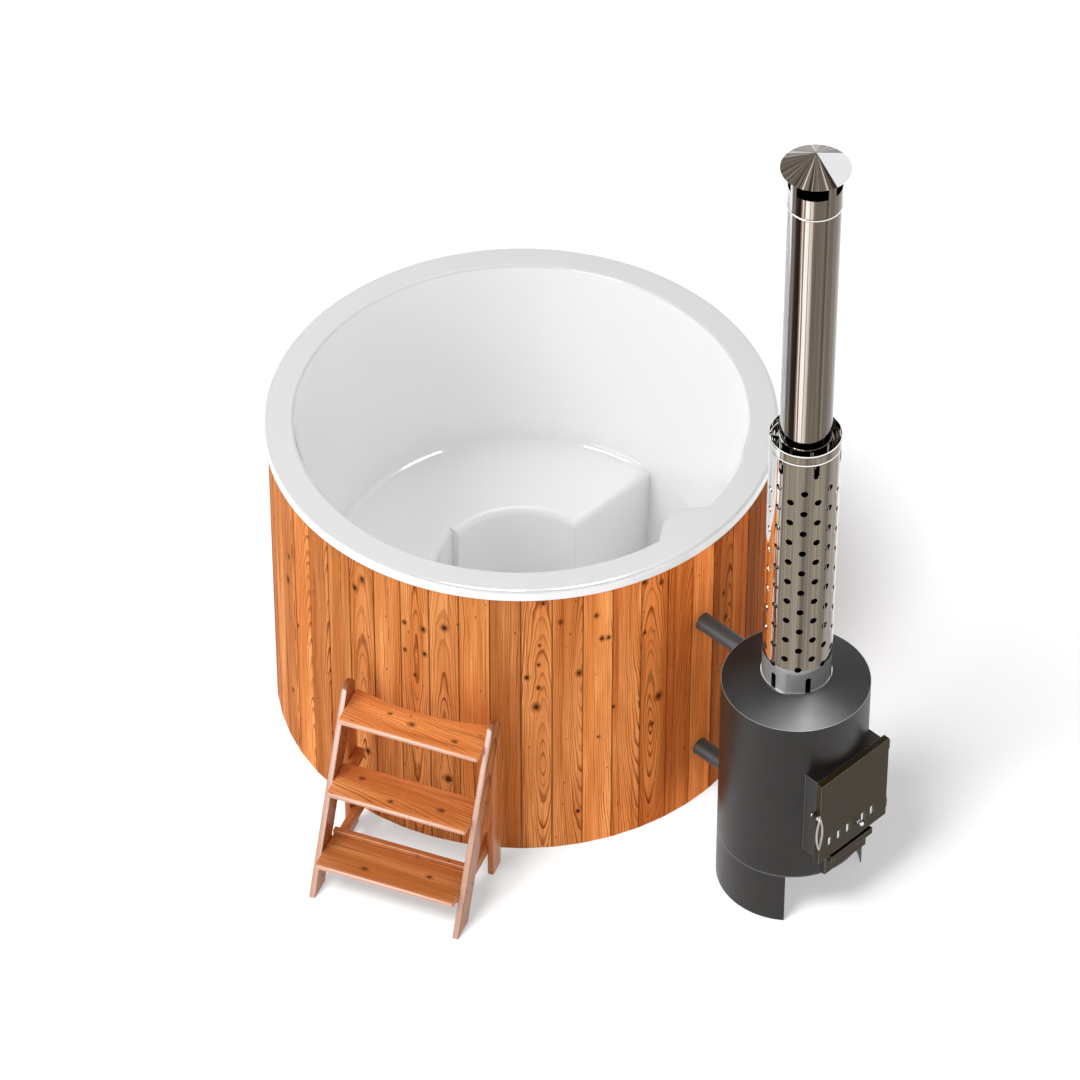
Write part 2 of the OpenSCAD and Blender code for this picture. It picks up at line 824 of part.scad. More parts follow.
// Latch: a wire loop on a spindle at the door's free edge
module latch_bracket() {
    back = door_x - door_fold + 2;
    color(door_paint) at_heater() difference() {
        union() {
            box_at(back, door_x - 4, latch_y, -door_w / 2, latch_z - 8, latch_z + 8);
            translate([back, latch_y, latch_z]) along_x() cylinder(r = 8, h = door_x - 4 - back);
        }
        translate([0, latch_y, latch_z]) along_x() cylinder(r = spindle_r + run_gap, h = door_x);
    }
}
module latch_handle() {
    back = door_x - door_fold - 6;
    turn_r = (latch_w - latch_wire) / 2;
    run = latch_h - latch_w;
    wire_r = latch_wire / 2;
    color(polished) at_heater() translate([0, latch_y, latch_z]) {
        translate([back, 0, 0]) along_x() cylinder(r = spindle_r, h = latch_x - back);
        translate([door_x - 3, 0, 0]) along_x() cylinder(r = 8, h = 6);
        translate([back, 0, 0]) along_x() cylinder(r = 7, h = 7);
        box_at(back, back + 4, 0, cam_reach - 5, -5, 5);
        translate([back, cam_reach - 5, 0]) along_x() cylinder(r = 5, h = 4);
        translate([latch_x, 0, -turn_r]) rotate([90, 0, 90]) {
            rotate_extrude(angle = 180) translate([turn_r, 0]) circle(r = wire_r, $fn = 32);
            translate([0, -run, 0]) rotate_extrude(angle = 180, start = 180)
                translate([turn_r, 0]) circle(r = wire_r, $fn = 32);
        }
        for (side = [-1, 1])
            translate([latch_x, side * turn_r, -turn_r - run]) cylinder(r = wire_r, h = run, $fn = 32);
    }
}

// Chimney
module flue_spigot() {
    color(dull_steel) at_heater() translate([0, 0, firebox_top_z - plate_t])
        ring(spigot_r, spigot_r - 2.5, spigot_top_z - firebox_top_z + plate_t);
}
module flue_lower() {
    color(polished) at_heater() rotate_extrude() polygon([
        [flue_in, top_z], [flue_r, top_z], [flue_r, flue_joint_z - seat_gap],
        [flue_in - seat_gap, flue_joint_z - seat_gap],
        [flue_in - seat_gap, flue_joint_z + flue_overlap],
        [flue_in - seat_gap - flue_t, flue_joint_z + flue_overlap],
        [flue_in - seat_gap - flue_t, flue_joint_z - 8],
        [flue_in, flue_joint_z - 8]]);
}
module flue_upper() {
    color(polished) at_heater() rotate_extrude() polygon(concat(
        [[flue_in, flue_joint_z], [flue_r, flue_joint_z]],
        arc(flue_r, flue_joint_z + 2 + bead_r, bead_r, -90, 90, 6),
        [[flue_r, flue_top_z], [flue_in, flue_top_z]]));
}
module guard_tube() {
    color(polished) at_heater() difference() {
        translate([0, 0, top_z]) ring(guard_r, guard_r - guard_t, guard_h);
        for (c = [0 : guard_columns - 1])
            rotate([0, 0, column_phase + c * 360 / guard_columns])
                for (k = [0 : holes_in_column - 1 - c % 2])
                    translate([guard_r - 9, 0, top_z + first_hole_z + (k + c % 2 / 2) * hole_pitch])
                        along_x() cylinder(r = hole_d / 2, h = 18, $fn = 32);
        for (i = [0 : vent_count - 1])
            rotate([0, 0, vent_phase + i * 360 / vent_count]) {
                guard_vent(top_z - eps, top_z + vent_h - vent_w / 2);
                guard_vent(guard_top_z + eps, guard_top_z - vent_h + vent_w / 2);
            }
    }
}
module guard_vent(z_open, z_round) {
    box_at(guard_r - 9, guard_r + 9, -vent_w / 2, vent_w / 2, min(z_open, z_round), max(z_open, z_round));
    translate([guard_r - 9, 0, z_round]) along_x() cylinder(r = vent_w / 2, h = 18, $fn = 32);
}
module guard_collar() {
    color(polished) at_heater() translate([0, 0, guard_top_z - 12])
        ring(guard_r + run_gap + collar_t, guard_r + run_gap, collar_h);
}
module guard_base_ring() {
    color(polished) at_heater() translate([0, 0, top_z])
        ring(guard_r + run_gap + base_ring_t, guard_r + run_gap, 8);
}
module guard_spacers() {
    x0 = flue_r + run_gap * 2;
    x1 = guard_r - guard_t - run_gap * 2;
    color(dull_steel) at_heater() for (i = [0 : spacer_count - 1])
        rotate([0, 0, 90 + i * 360 / spacer_count])
            box_at(x0, x1, -spacer_t / 2, spacer_t / 2, guard_top_z - spacer_h - 4, guard_top_z - 4);
}
module cap_sleeve() {
    slope = cap_h / cap_r;
    color(polished) at_heater() difference() {
        rotate_extrude() polygon(concat(
            [[sleeve_r - flue_t, sleeve_z]],
            arc(sleeve_r, sleeve_z + bead_r, bead_r, -90, 90, 6),
            [[sleeve_r, cap_z + (cap_r - sleeve_r) * slope - cap_t - seat_gap]],
            [[sleeve_r - flue_t, cap_z + (cap_r - sleeve_r) * slope - cap_t - seat_gap]]));
        for (i = [0 : window_count - 1])
            rotate([0, 0, window_phase + i * 360 / window_count - window_angle / 2])
                translate([0, 0, cap_z - 2 - window_h])
                    rotate_extrude(angle = window_angle)
                        translate([sleeve_r - 6, 0]) square([12, window_h]);
    }
}
module rain_cap() {
    color(polished) at_heater() rotate_extrude() polygon([
        [0, cap_z + cap_h], [cap_r, cap_z], [cap_r, cap_z - 3], [cap_r - cap_t, cap_z - 3],
        [cap_r - cap_t, cap_z - cap_t / 2], [0, cap_z + cap_h - cap_t * 1.2]]);
}

// Ladder, in its own frame: x runs back towards the tub, y across, z up
module at_ladder() {
    rotate([0, 0, ladder_azimuth + 180]) translate([-ladder_reach, 0, 0]) children();
}
module upright_plate(y0, y1) {
    translate([0, y1, 0]) rotate([90, 0, 0]) linear_extrude(height = y1 - y0) children();
}
module side_outline() {
    cx = leg_back - side_top_r;
    cz = (cx * cos(lean_angle) - side_top_r) / sin(lean_angle);
    polygon([
        [0, 0], [side_depth, 0], [leg_back, (leg_back - side_depth) / lean], [leg_back, cz],
        [cx, cz], [cx - side_top_r * cos(lean_angle), cz + side_top_r * sin(lean_angle)]]);
    translate([cx, cz]) circle(r = side_top_r);
}
module leg_outline() {
    polygon([
        [leg_back - leg_depth, 0], [leg_back, 0],
        [leg_back, (leg_back - side_depth) / lean - seat_gap],
        [leg_back - leg_depth, (leg_back - leg_depth - side_depth) / lean - seat_gap]]);
}
module ladder_left_side() {
    color(wood) at_ladder() upright_plate(half_in, half_in + ladder_t) side_outline();
}
module ladder_right_side() {
    color(wood) at_ladder() upright_plate(-half_in - ladder_t, -half_in) side_outline();
}
module ladder_left_leg() {
    color(wood) at_ladder() upright_plate(half_in, half_in + ladder_t) leg_outline();
}
module ladder_right_leg() {
    color(wood) at_ladder() upright_plate(-half_in - ladder_t, -half_in) leg_outline();
}
module tread(i, depth) {
    z = tread_zs[i];
    front = z * lean - nose_out;
    half = half_in - run_gap;
    upright_plate(-half, half) {
        translate([front + tread_t / 2, z - tread_t]) square([depth - tread_t / 2, tread_t]);
        translate([front + tread_t / 2, z - tread_t / 2]) circle(r = tread_t / 2);
    }
}
module lower_tread() { color(wood) at_ladder() tread(0, tread_d); }
module middle_tread() { color(wood) at_ladder() tread(1, tread_d); }
module upper_tread() {
    color(wood) difference() {
        at_ladder() tread(2, tread_d + 40);
        cylinder(r = clad_r + tub_clearance, h = tub_h);
    }
}
module tread_bearers() {
    color(wood) at_ladder() for (side = [-1, 1], i = [0, 1])
        let (z1 = tread_zs[i] - tread_t, x0 = z1 * lean + 12, y = half_in - run_gap)
            box_at(x0, leg_back - 4, side > 0 ? y - bearer_w : -y, side > 0 ? y : bearer_w - y,
                z1 - bearer_h, z1);
}
module ladder_crossbar() {
    x0 = tread_zs[0] * lean - nose_out + tread_d + seat_gap;
    z1 = tread_zs[0] + crossbar_up;
    notch_z = tread_zs[0] - tread_t + seat_gap;
    color(wood) at_ladder()
        box_at(x0, x0 + crossbar_t, run_gap - half_in, half_in - run_gap, notch_z, z1);
}
module ladder_screws() {
    color(dull_steel) at_ladder() for (side = [-1, 1], i = [0 : 2], j = [0, 1])
        let (z = tread_zs[i] - tread_t / 2, x = z * lean + screw_in + j * screw_pitch)
            translate([x, side * (half_in + ladder_t), z])
                rotate([-90 * side, 0, 0]) cylinder(r1 = screw_r, r2 = screw_r - 1.4, h = screw_h, $fn = 24);
}

tub_liner();
cladding_heater_side();
pipe_board();
cladding_far_side();
cladding_rear();
cladding_ladder_side();
wall_studs();
frame_rings();
base_joists();
base_panel();
floor_insulation();
drain_strainer();
drain_elbow();
drain_valve();
drain_lever();
wall_flanges();
lock_nuts();
water_grilles();
upper_pipe();
lower_pipe();
heater_shell();
port_plates();
heater_top();
heater_bottom();
heater_stand();
firebox();
fire_grate();
drawer_runners();
door_neck();
ash_neck();
ash_drawer();
door_panel();
door_rope();
air_slider();
slider_guides();
air_knob();
door_knuckles();
hinge_brackets();
hinge_pins();
latch_bracket();
latch_handle();
flue_spigot();
flue_lower();
flue_upper();
guard_tube();
guard_collar();
guard_base_ring();
guard_spacers();
cap_sleeve();
rain_cap();
ladder_left_side();
ladder_right_side();
ladder_left_leg();
ladder_right_leg();
lower_tread();
middle_tread();
upper_tread();
tread_bearers();
ladder_crossbar();
ladder_screws();
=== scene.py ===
import json
import math

import bmesh
import bpy
from mathutils import Matrix, Vector

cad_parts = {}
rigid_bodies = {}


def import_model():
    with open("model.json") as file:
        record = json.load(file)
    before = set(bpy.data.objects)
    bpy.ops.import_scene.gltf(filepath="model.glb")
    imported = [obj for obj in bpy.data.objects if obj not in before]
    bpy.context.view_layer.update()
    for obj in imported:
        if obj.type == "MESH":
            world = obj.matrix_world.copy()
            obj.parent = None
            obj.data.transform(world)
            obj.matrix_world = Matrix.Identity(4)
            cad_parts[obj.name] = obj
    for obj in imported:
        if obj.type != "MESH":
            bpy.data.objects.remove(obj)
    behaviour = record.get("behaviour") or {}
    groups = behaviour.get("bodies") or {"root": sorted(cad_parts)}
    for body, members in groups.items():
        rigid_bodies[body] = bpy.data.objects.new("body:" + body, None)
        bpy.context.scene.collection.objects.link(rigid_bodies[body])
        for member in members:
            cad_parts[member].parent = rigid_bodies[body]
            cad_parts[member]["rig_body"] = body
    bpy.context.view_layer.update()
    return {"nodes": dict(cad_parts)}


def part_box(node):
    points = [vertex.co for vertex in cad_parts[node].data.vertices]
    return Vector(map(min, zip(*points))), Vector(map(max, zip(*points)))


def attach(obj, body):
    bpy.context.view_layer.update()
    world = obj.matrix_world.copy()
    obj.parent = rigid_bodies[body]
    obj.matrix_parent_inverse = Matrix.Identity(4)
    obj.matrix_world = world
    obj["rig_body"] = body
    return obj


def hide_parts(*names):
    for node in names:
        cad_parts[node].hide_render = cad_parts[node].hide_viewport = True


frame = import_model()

nodes = frame["nodes"]
collection = bpy.context.scene.collection

# Places and sizes in metres, in the frame's axes
shell_low, shell_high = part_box("heater_shell")
HEATER_X = (shell_low[0] + shell_high[0]) / 2
HEATER_Y = (shell_low[1] + shell_high[1]) / 2
TUB_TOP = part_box("tub_liner")[1][2]
BOARD_COUNT = 52
BOARD_STEP = 2 * math.pi / BOARD_COUNT
BOARD_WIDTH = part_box("cladding_heater_side")[1][0] * BOARD_STEP
# The side of the tub where the ladder stands
LADDER_AZIMUTH = math.radians(-66.4)
LADDER_FRONT = (math.cos(LADDER_AZIMUTH), math.sin(LADDER_AZIMUTH), 0.0)
# The ladder's distance from the tub's axis, and the going and rise of its treads
LADDER_FOOT = 1.173
TREAD_GOING = 0.103
TREAD_RISE = 0.220

CAMERA_PLACE = (10.240, -10.158, 14.141)
CAMERA_TILT = 46.77
CAMERA_TURN = 45.0
CAMERA_LENS = 208.8
SENSOR_WIDTH = 36.0
FARTHEST_SEEN = 100.0


# Camera
def place_camera():
    data = bpy.data.cameras.new("camera")
    data.lens = CAMERA_LENS
    data.sensor_width = SENSOR_WIDTH
    data.clip_end = FARTHEST_SEEN
    camera = bpy.data.objects.new("camera", data)
    camera.location = CAMERA_PLACE
    camera.rotation_euler = (math.radians(CAMERA_TILT), 0.0, math.radians(CAMERA_TURN))
    collection.objects.link(camera)
    bpy.context.scene.camera = camera


# Light
def area_light(name, azimuth, elevation, distance, size, radiance, aim, color=(1, 1, 1)):
    """A rectangular lamp of (width, height) in metres, as bright as a surface of that radiance.

    It stands at the azimuth and elevation, in degrees, and the distance from the point aim."""
    data = bpy.data.lights.new(name, "AREA")
    data.shape = "RECTANGLE"
    data.size, data.size_y = size
    data.energy = radiance * math.pi * size[0] * size[1]
    data.color = color
    lamp = bpy.data.objects.new(name, data)
    a, e = math.radians(azimuth), math.radians(elevation)
    direction = Vector((math.cos(e) * math.cos(a), math.cos(e) * math.sin(a), math.sin(e)))
    lamp.location = Vector(aim) + direction * distance
    lamp.rotation_euler = direction.to_track_quat("Z", "Y").to_euler()
    collection.objects.link(lamp)
    return lamp


def softbox(name, azimuth, elevation, distance, size, radiance, aim):
    """A lamp that shows only as a highlight."""
    lamp = area_light(name, azimuth, elevation, distance, size, radiance, aim)
    lamp.visible_diffuse = False
    lamp.visible_camera = False
    return lamp


def light_only(lamp, *receivers):
    """Let the lamp light these objects alone."""
    lit = bpy.data.collections.new(lamp.name + "_lit")
    for receiver in receivers:
        lit.objects.link(receiver)
    lamp.light_linking.receiver_collection = lit


def floor_sun(azimuth, elevation, spread, strength, floor):
    """A distant lamp for the floor alone, which lays the shadow. Its angles are in degrees."""
    data = bpy.data.lights.new("floor_sun", "SUN")
    data.energy = strength
    data.angle = math.radians(spread)
    sun = bpy.data.objects.new("floor_sun", data)
    sun.rotation_euler = (math.radians(90 - elevation), 0.0, math.radians(azimuth + 90))
    collection.objects.link(sun)
    light_only(sun, floor)


# Node materials
class Shader:
    """A material, or the sky, whose nodes are added one by one.

    Inputs are numbers, tuples or sockets."""

    def __init__(self, name, sky=False):
        self.owner = bpy.data.worlds.new(name) if sky else bpy.data.materials.new(name)
        self.owner.use_nodes = True
        self.tree = self.owner.node_tree
        self.tree.nodes.clear()
        output_kind = "ShaderNodeOutputWorld" if sky else "ShaderNodeOutputMaterial"
        self.output = self.tree.nodes.new(output_kind)

    def feed(self, socket, value):
        if isinstance(value, bpy.types.NodeSocket):
            self.tree.links.new(value, socket)
        elif isinstance(value, tuple) and socket.type == "RGBA":
            socket.default_value = (*value, 1) if len(value) == 3 else value
        else:
            socket.default_value = value

    def node(self, kind, inputs=None, **settings):
        made = self.tree.nodes.new(kind)
        for key, value in settings.items():
            setattr(made, key, value)
        for key, value in (inputs or {}).items():
            self.feed(made.inputs[key], value)
        return made

    def math(self, operation, a, b=0.0):
        return self.node("ShaderNodeMath", {0: a, 1: b}, operation=operation).outputs[0]

    def add(self, a, b):
        return self.math("ADD", a, b)

    def sub(self, a, b):
        return self.math("SUBTRACT", a, b)

    def mul(self, a, b):
        return self.math("MULTIPLY", a, b)

    def div(self, a, b):
        return self.math("DIVIDE", a, b)

    def ramp(self, value, low, high, to_low=0.0, to_high=1.0, smooth=True):
        """The value mapped from low and high to to_low and to_high, and held beyond them."""
        kind = "SMOOTHSTEP" if smooth else "LINEAR"
        made = self.node("ShaderNodeMapRange", {0: value, 1: low, 2: high, 3: to_low, 4: to_high},
                         interpolation_type=kind)
        return made.outputs[0]

    def join(self, x, y, z):
        return self.node("ShaderNodeCombineXYZ", {0: x, 1: y, 2: z}).outputs[0]

    def split(self, vector):
        return self.node("ShaderNodeSeparateXYZ", {0: vector}).outputs

    def dot(self, a, b):
        return self.node("ShaderNodeVectorMath", {0: a, 1: b}, operation="DOT_PRODUCT").outputs["Value"]

    def place(self):
        """The point in the frame's axes, since every object sits at the origin."""
        return self.node("ShaderNodeTexCoord").outputs["Object"]

    def noise(self, vector, scale, detail=2.0, roughness=0.5):
        made = self.node("ShaderNodeTexNoise", {"Vector": vector, "Scale": scale, "Detail": detail,
                                                "Roughness": roughness})
        return made.outputs["Fac"]

    def random(self, seed):
        """Three random numbers from 0 to 1 for one seed."""
        made = self.node("ShaderNodeTexWhiteNoise", {"W": seed}, noise_dimensions="1D")
        return self.split(made.outputs["Color"])

    def colors(self, value, stops, constant=False):
        """A colour ramp through the stops, each a place from 0 to 1 and a colour."""
        made = self.node("ShaderNodeValToRGB", {0: value})
        ramp = made.color_ramp
        ramp.interpolation = "CONSTANT" if constant else "LINEAR"
        ramp.elements.remove(ramp.elements[1])
        ramp.elements[0].position = stops[0][0]
        ramp.elements[0].color = (*stops[0][1], 1)
        for position, color in stops[1:]:
            ramp.elements.new(position).color = (*color, 1)
        return made.outputs["Color"]

    def mix(self, factor, a, b, blend="MIX"):
        """Two colours blended. A mix node has its colours at inputs 6 and 7 and output 2."""
        made = self.node("ShaderNodeMix", data_type="RGBA", blend_type=blend)
        self.feed(made.inputs[0], factor)
        self.feed(made.inputs[6], a)
        self.feed(made.inputs[7], b)
        return made.outputs[2]

    def grey(self, value):
        return self.node("ShaderNodeCombineColor", {0: value, 1: value, 2: value}).outputs[0]

    def bump(self, height, distance, strength=1.0, normal=None):
        inputs = {"Height": height, "Distance": distance, "Strength": strength}
        if normal is not None:
            inputs["Normal"] = normal
        return self.node("ShaderNodeBump", inputs).outputs[0]

    def surface(self, color, roughness, metallic=0.0, normal=None, **extra):
        """The finished material. extra names further sockets, with _ for each space."""
        inputs = {"Base Color": color, "Roughness": roughness, "Metallic": metallic}
        inputs.update({key.replace("_", " ").title().replace("Ior", "IOR"): value
                       for key, value in extra.items()})
        made = self.node("ShaderNodeBsdfPrincipled", inputs)
        if normal is not None:
            self.feed(made.inputs["Normal"], normal)
        return self.finish(made)

    def finish(self, last):
        """What the nodes belong to, with the last node joined to its output."""
        self.feed(self.output.inputs["Surface"], last.outputs[0])
        return self.owner


def light_world(horizon, zenith):
    """A sky that is white where seen. For diffuse light it runs from one strength to another."""
    s = Shader("studio", sky=True)
    upward = s.split(s.node("ShaderNodeTexCoord").outputs["Generated"])[2]
    level = s.ramp(upward, 0.0, 1.0, horizon, zenith, smooth=False)
    ambient = s.node("ShaderNodeBackground", {"Color": (1, 1, 1), "Strength": level})
    white = s.node("ShaderNodeBackground", {"Color": (1, 1, 1), "Strength": 1.0})
    seen = s.sub(1.0, s.node("ShaderNodeLightPath").outputs["Is Diffuse Ray"])
    both = s.node("ShaderNodeMixShader", {0: seen, 1: ambient.outputs[0], 2: white.outputs[0]})
    bpy.context.scene.world = s.finish(both)


# Wood
EARLY_WOOD = (0.93, 0.39, 0.128)
MID_WOOD = (0.62, 0.190, 0.044)
LATE_WOOD = (0.25, 0.052, 0.010)
KNOT_RIM = (0.20, 0.050, 0.012)
KNOT_CORE = (0.085, 0.030, 0.014)
KNOT_CRACK = (0.012, 0.007, 0.005)
# Pale colour of the painted sheen on ladder faces that face the user
PAINTED_SHEEN = (0.74, 0.46, 0.36)
SEAM_SHADE = (0.07, 0.018, 0.006)
RED_TINT = (1.0, 0.72, 0.50)
# Width of a year ring in metres
BOARD_RING = 0.0052
LADDER_RING = 0.0030


def knot_marks(s, across, along, knots):
    """Where knots push the rings aside, their dark cores and their rims.

    knots lists (across, along, radius), as numbers or sockets, and a radius of 0 is no knot."""
    push = 0.0
    core = 0.0
    rim = 0.0
    rough = s.sub(s.noise(s.join(s.mul(across, 150.0), s.mul(along, 150.0), 0.0), 1.0, 2.0), 0.5)
    for x, z, radius in knots:
        side = s.sub(across, x)
        up = s.mul(s.sub(along, z), 0.72)
        away = s.math("SQRT", s.add(s.mul(side, side), s.mul(up, up)))
        near = s.math("MAXIMUM", radius, 0.0001)
        sizes = s.div(away, near)
        pull = s.math("POWER", s.div(1.9, s.math("MAXIMUM", sizes, 0.5)), 2.0)
        push = s.add(push, s.mul(s.mul(side, 0.42), s.mul(s.ramp(sizes, 7.0, 2.0), pull)))
        ragged = s.add(sizes, s.mul(rough, 0.9))
        core = s.math("MAXIMUM", core, s.ramp(ragged, 1.0, 0.6))
        rim = s.math("MAXIMUM", rim, s.ramp(ragged, 2.2, 0.9))
    return push, core, rim


def ring_colors(s, across, along, depth, seed, figure, knots, ring, dark):
    """Colour and height of sawn softwood: arched or straight rings, fibres and knots.

    figure runs from 0, straight grain, to 1, arched grain. dark sets how black the knots are."""
    first = s.random(seed)
    second = s.random(s.add(seed, 37.7))
    sway = s.noise(s.join(s.mul(across, 5.0), s.mul(seed, 3.1), s.mul(along, 1.1)), 1.6, 2.0)
    push, core, rim = knot_marks(s, across, along, knots)
    pushed = s.sub(s.add(across, s.mul(s.sub(sway, 0.5), 0.020)), push)
    center = s.add(s.mul(s.sub(first[0], 0.5), 0.030),
                   s.mul(s.sub(1.0, figure), s.add(0.055, s.mul(first[1], 0.05))))
    slope = s.mul(s.sub(s.math("ROUND", second[0]), 0.5), s.add(0.06, s.mul(second[1], 0.09)))
    inward = s.add(s.mul(slope, s.sub(along, s.mul(second[2], 1.1))), depth)
    pith = s.add(s.add(s.mul(figure, 0.010), 0.004), s.math("ABSOLUTE", inward))
    slow = s.noise(s.join(s.mul(across, 3.0), s.mul(seed, 1.7), s.mul(along, 2.6)), 2.0, 3.0)
    flat = s.sub(pushed, center)
    radius_here = s.math("SQRT", s.add(s.mul(flat, flat), s.mul(pith, pith)))
    years = s.sub(s.noise(s.join(s.mul(radius_here, 75.0), s.mul(seed, 4.3), 0.0), 1.0, 2.0), 0.5)
    turns = s.add(s.div(radius_here, ring), s.mul(s.sub(slow, 0.5), 1.8))
    turns = s.add(turns, s.mul(years, 2.6))
    saw = s.math("FRACT", turns)
    fibre = s.noise(s.join(s.mul(across, 260.0), s.mul(seed, 9.0), s.mul(along, 5.0)), 1.0, 3.0, 0.6)
    pores = s.noise(s.join(s.mul(across, 700.0), s.mul(seed, 5.0), s.mul(along, 22.0)), 1.0, 2.0, 0.7)
    soft = s.add(saw, s.mul(s.sub(fibre, 0.5), 0.30))
    zone = s.noise(s.join(s.mul(radius_here, 28.0), s.mul(seed, 6.1), s.mul(along, 0.9)), 1.0, 2.0)
    patch = s.noise(s.join(s.mul(across, 14.0), s.mul(seed, 2.3), s.mul(along, 1.3)), 1.2, 2.0)
    color = s.mix(s.ramp(zone, 0.40, 0.64, 0.0, 0.75), EARLY_WOOD, MID_WOOD)
    color = s.mix(s.ramp(patch, 0.40, 0.62, 0.0, 0.55), color, MID_WOOD)
    bold = s.noise(s.join(s.mul(turns, 0.55), s.mul(seed, 2.9), s.mul(along, 1.5)), 1.0, 1.0)
    line = s.mul(s.ramp(soft, 0.55, 0.90), s.ramp(soft, 1.04, 0.96))
    color = s.mix(s.mul(line, s.ramp(bold, 0.35, 0.65, 0.40, 1.0)), color, LATE_WOOD)
    color = s.mix(s.ramp(fibre, 0.48, 0.70, 0.0, 0.60), color, MID_WOOD)
    color = s.mix(s.ramp(pores, 0.58, 0.76, 0.0, 0.50), color, LATE_WOOD)
    streak = s.noise(s.join(s.mul(across, 75.0), s.mul(seed, 8.3), s.mul(along, 1.6)), 1.0, 3.0, 0.65)
    color = s.mix(s.ramp(streak, 0.52, 0.72, 0.0, 0.50), color, LATE_WOOD)
    cells = s.join(s.mul(across, 26.0), s.mul(seed, 7.7), s.mul(along, 12.0))
    specks = s.node("ShaderNodeTexVoronoi", {"Vector": cells, "Scale": 1.0})
    speck = s.ramp(specks.outputs["Distance"], 0.085, 0.045)
    color = s.mix(s.mul(speck, 0.85), color, KNOT_RIM)
    if knots:
        crack = s.noise(s.join(s.mul(across, 95.0), s.mul(seed, 1.3), s.mul(along, 60.0)), 1.0, 1.0)
        color = s.mix(s.mul(rim, 0.72 * dark), color, KNOT_RIM)
        inside = s.mix(s.ramp(crack, 0.42, 0.58), KNOT_CORE, KNOT_CRACK)
        color = s.mix(s.mul(core, dark), color, inside)
    height = s.add(s.mul(line, -0.35), s.mul(fibre, 0.6))
    return color, height


def toned(s, color, tone, warm):
    """A piece's lightness, 1 as it is, on the boards partly painted shade, and its redness."""
    color = s.mix(1.0, color, s.grey(tone), "MULTIPLY")
    return s.mix(warm, color, RED_TINT, "MULTIPLY")


# Boards in view, where 0 faces the heater and -10 the ladder: tone, partly the board's own and partly
# painted shade, redness, arched grain
BOARD_LOOKS = {
    4: (0.55, 1.0, 0.0), 3: (0.42, 0.95, 0.0), 2: (0.84, 1.0, 0.2), 1: (0.70, 1.0, 0.5),
    0: (1.42, 0.65, 0.1), -1: (1.05, 0.95, 0.0), -2: (0.98, 0.85, 1.0), -3: (1.14, 0.45, 0.2),
    -4: (1.34, 0.05, 0.1), -5: (0.97, 0.30, 0.3), -6: (0.97, 0.20, 0.8), -7: (0.75, 0.25, 0.0),
    -8: (1.10, 0.0, 0.0), -9: (0.94, 0.0, 1.0), -10: (0.99, 0.0, 0.9), -11: (1.03, 0.0, 0.1),
    -12: (0.93, 0.05, 0.9), -13: (0.87, 0.10, 0.0), -14: (0.79, 0.25, 0.1), -15: (1.18, 0.0, 0.2),
    -16: (0.85, 0.25, 0.7), -17: (0.98, 0.0, 0.1), -18: (0.73, 0.50, 0.4), -19: (0.54, 1.0, 0.0),
}
# Knots in view: board, millimetres across, height in millimetres, radius in millimetres
BOARD_KNOTS = [
    (-2, 18, 547, 10), (-2, -4, 440, 5), (-2, 22, 1030, 6), (-2, -36, 845, 5), (-2, -38, 1060, 7),
    (-3, -44, 572, 5), (-4, -6, 978, 6), (-4, 12, 876, 7), (-4, 33, 874, 6), (-4, 4, 456, 4),
    (-5, -22, 974, 6), (-5, 36, 748, 8), (-5, 34, 146, 6), (-6, 20, 1058, 5), (-6, 9, 882, 4),
    (-6, 6, 800, 5), (-6, -30, 748, 7), (-6, 6, 702, 6), (-6, -2, 620, 10), (-9, 2, 925, 9),
    (-9, 8, 275, 10), (-9, 46, 950, 3), (-10, -34, 902, 6),
    (-10, 28, 896, 7), (-10, -34, 786, 5), (-10, 32, 793, 6), (-10, 0, 690, 5), (-12, 4, 1005, 8),
    (-12, -26, 952, 8), (-12, 10, 268, 8), (1, 4, 812, 6), (1, 18, 700, 7), (-16, -2, 814, 6),
    (-16, -14, 706, 9), (-16, -6, 232, 6), (-15, -40, 568, 5),
]
KNOTS_PER_BOARD = 6
RANDOM_KNOTS = 2
BOARD_KEYS = sorted(BOARD_LOOKS)
# A board's place in a colour ramp from 0 to 1: its number plus the shift, over the span
TABLE_SHIFT = 26.0
TABLE_SPAN = 40.0
# The spans that a colour's 0 to 1 stands for: of tone, and of a knot's side, height and radius
TONE_SPAN = 1.5
KNOT_SPANS = (0.12, 1.2, 0.02)


def board_table(s, board, values, elsewhere):
    """Three values per board in view, from 0 to 1, and one triple for all the boards behind."""
    stops = [(0.0, elsewhere)]
    for key in BOARD_KEYS:
        stops.append(((key + TABLE_SHIFT - 0.5) / TABLE_SPAN, values.get(key, elsewhere)))
    stops.append(((BOARD_KEYS[-1] + TABLE_SHIFT + 0.5) / TABLE_SPAN, elsewhere))
    where = s.div(s.add(board, TABLE_SHIFT), TABLE_SPAN)
    return s.node("ShaderNodeSeparateColor", {0: s.colors(where, stops, constant=True)}).outputs


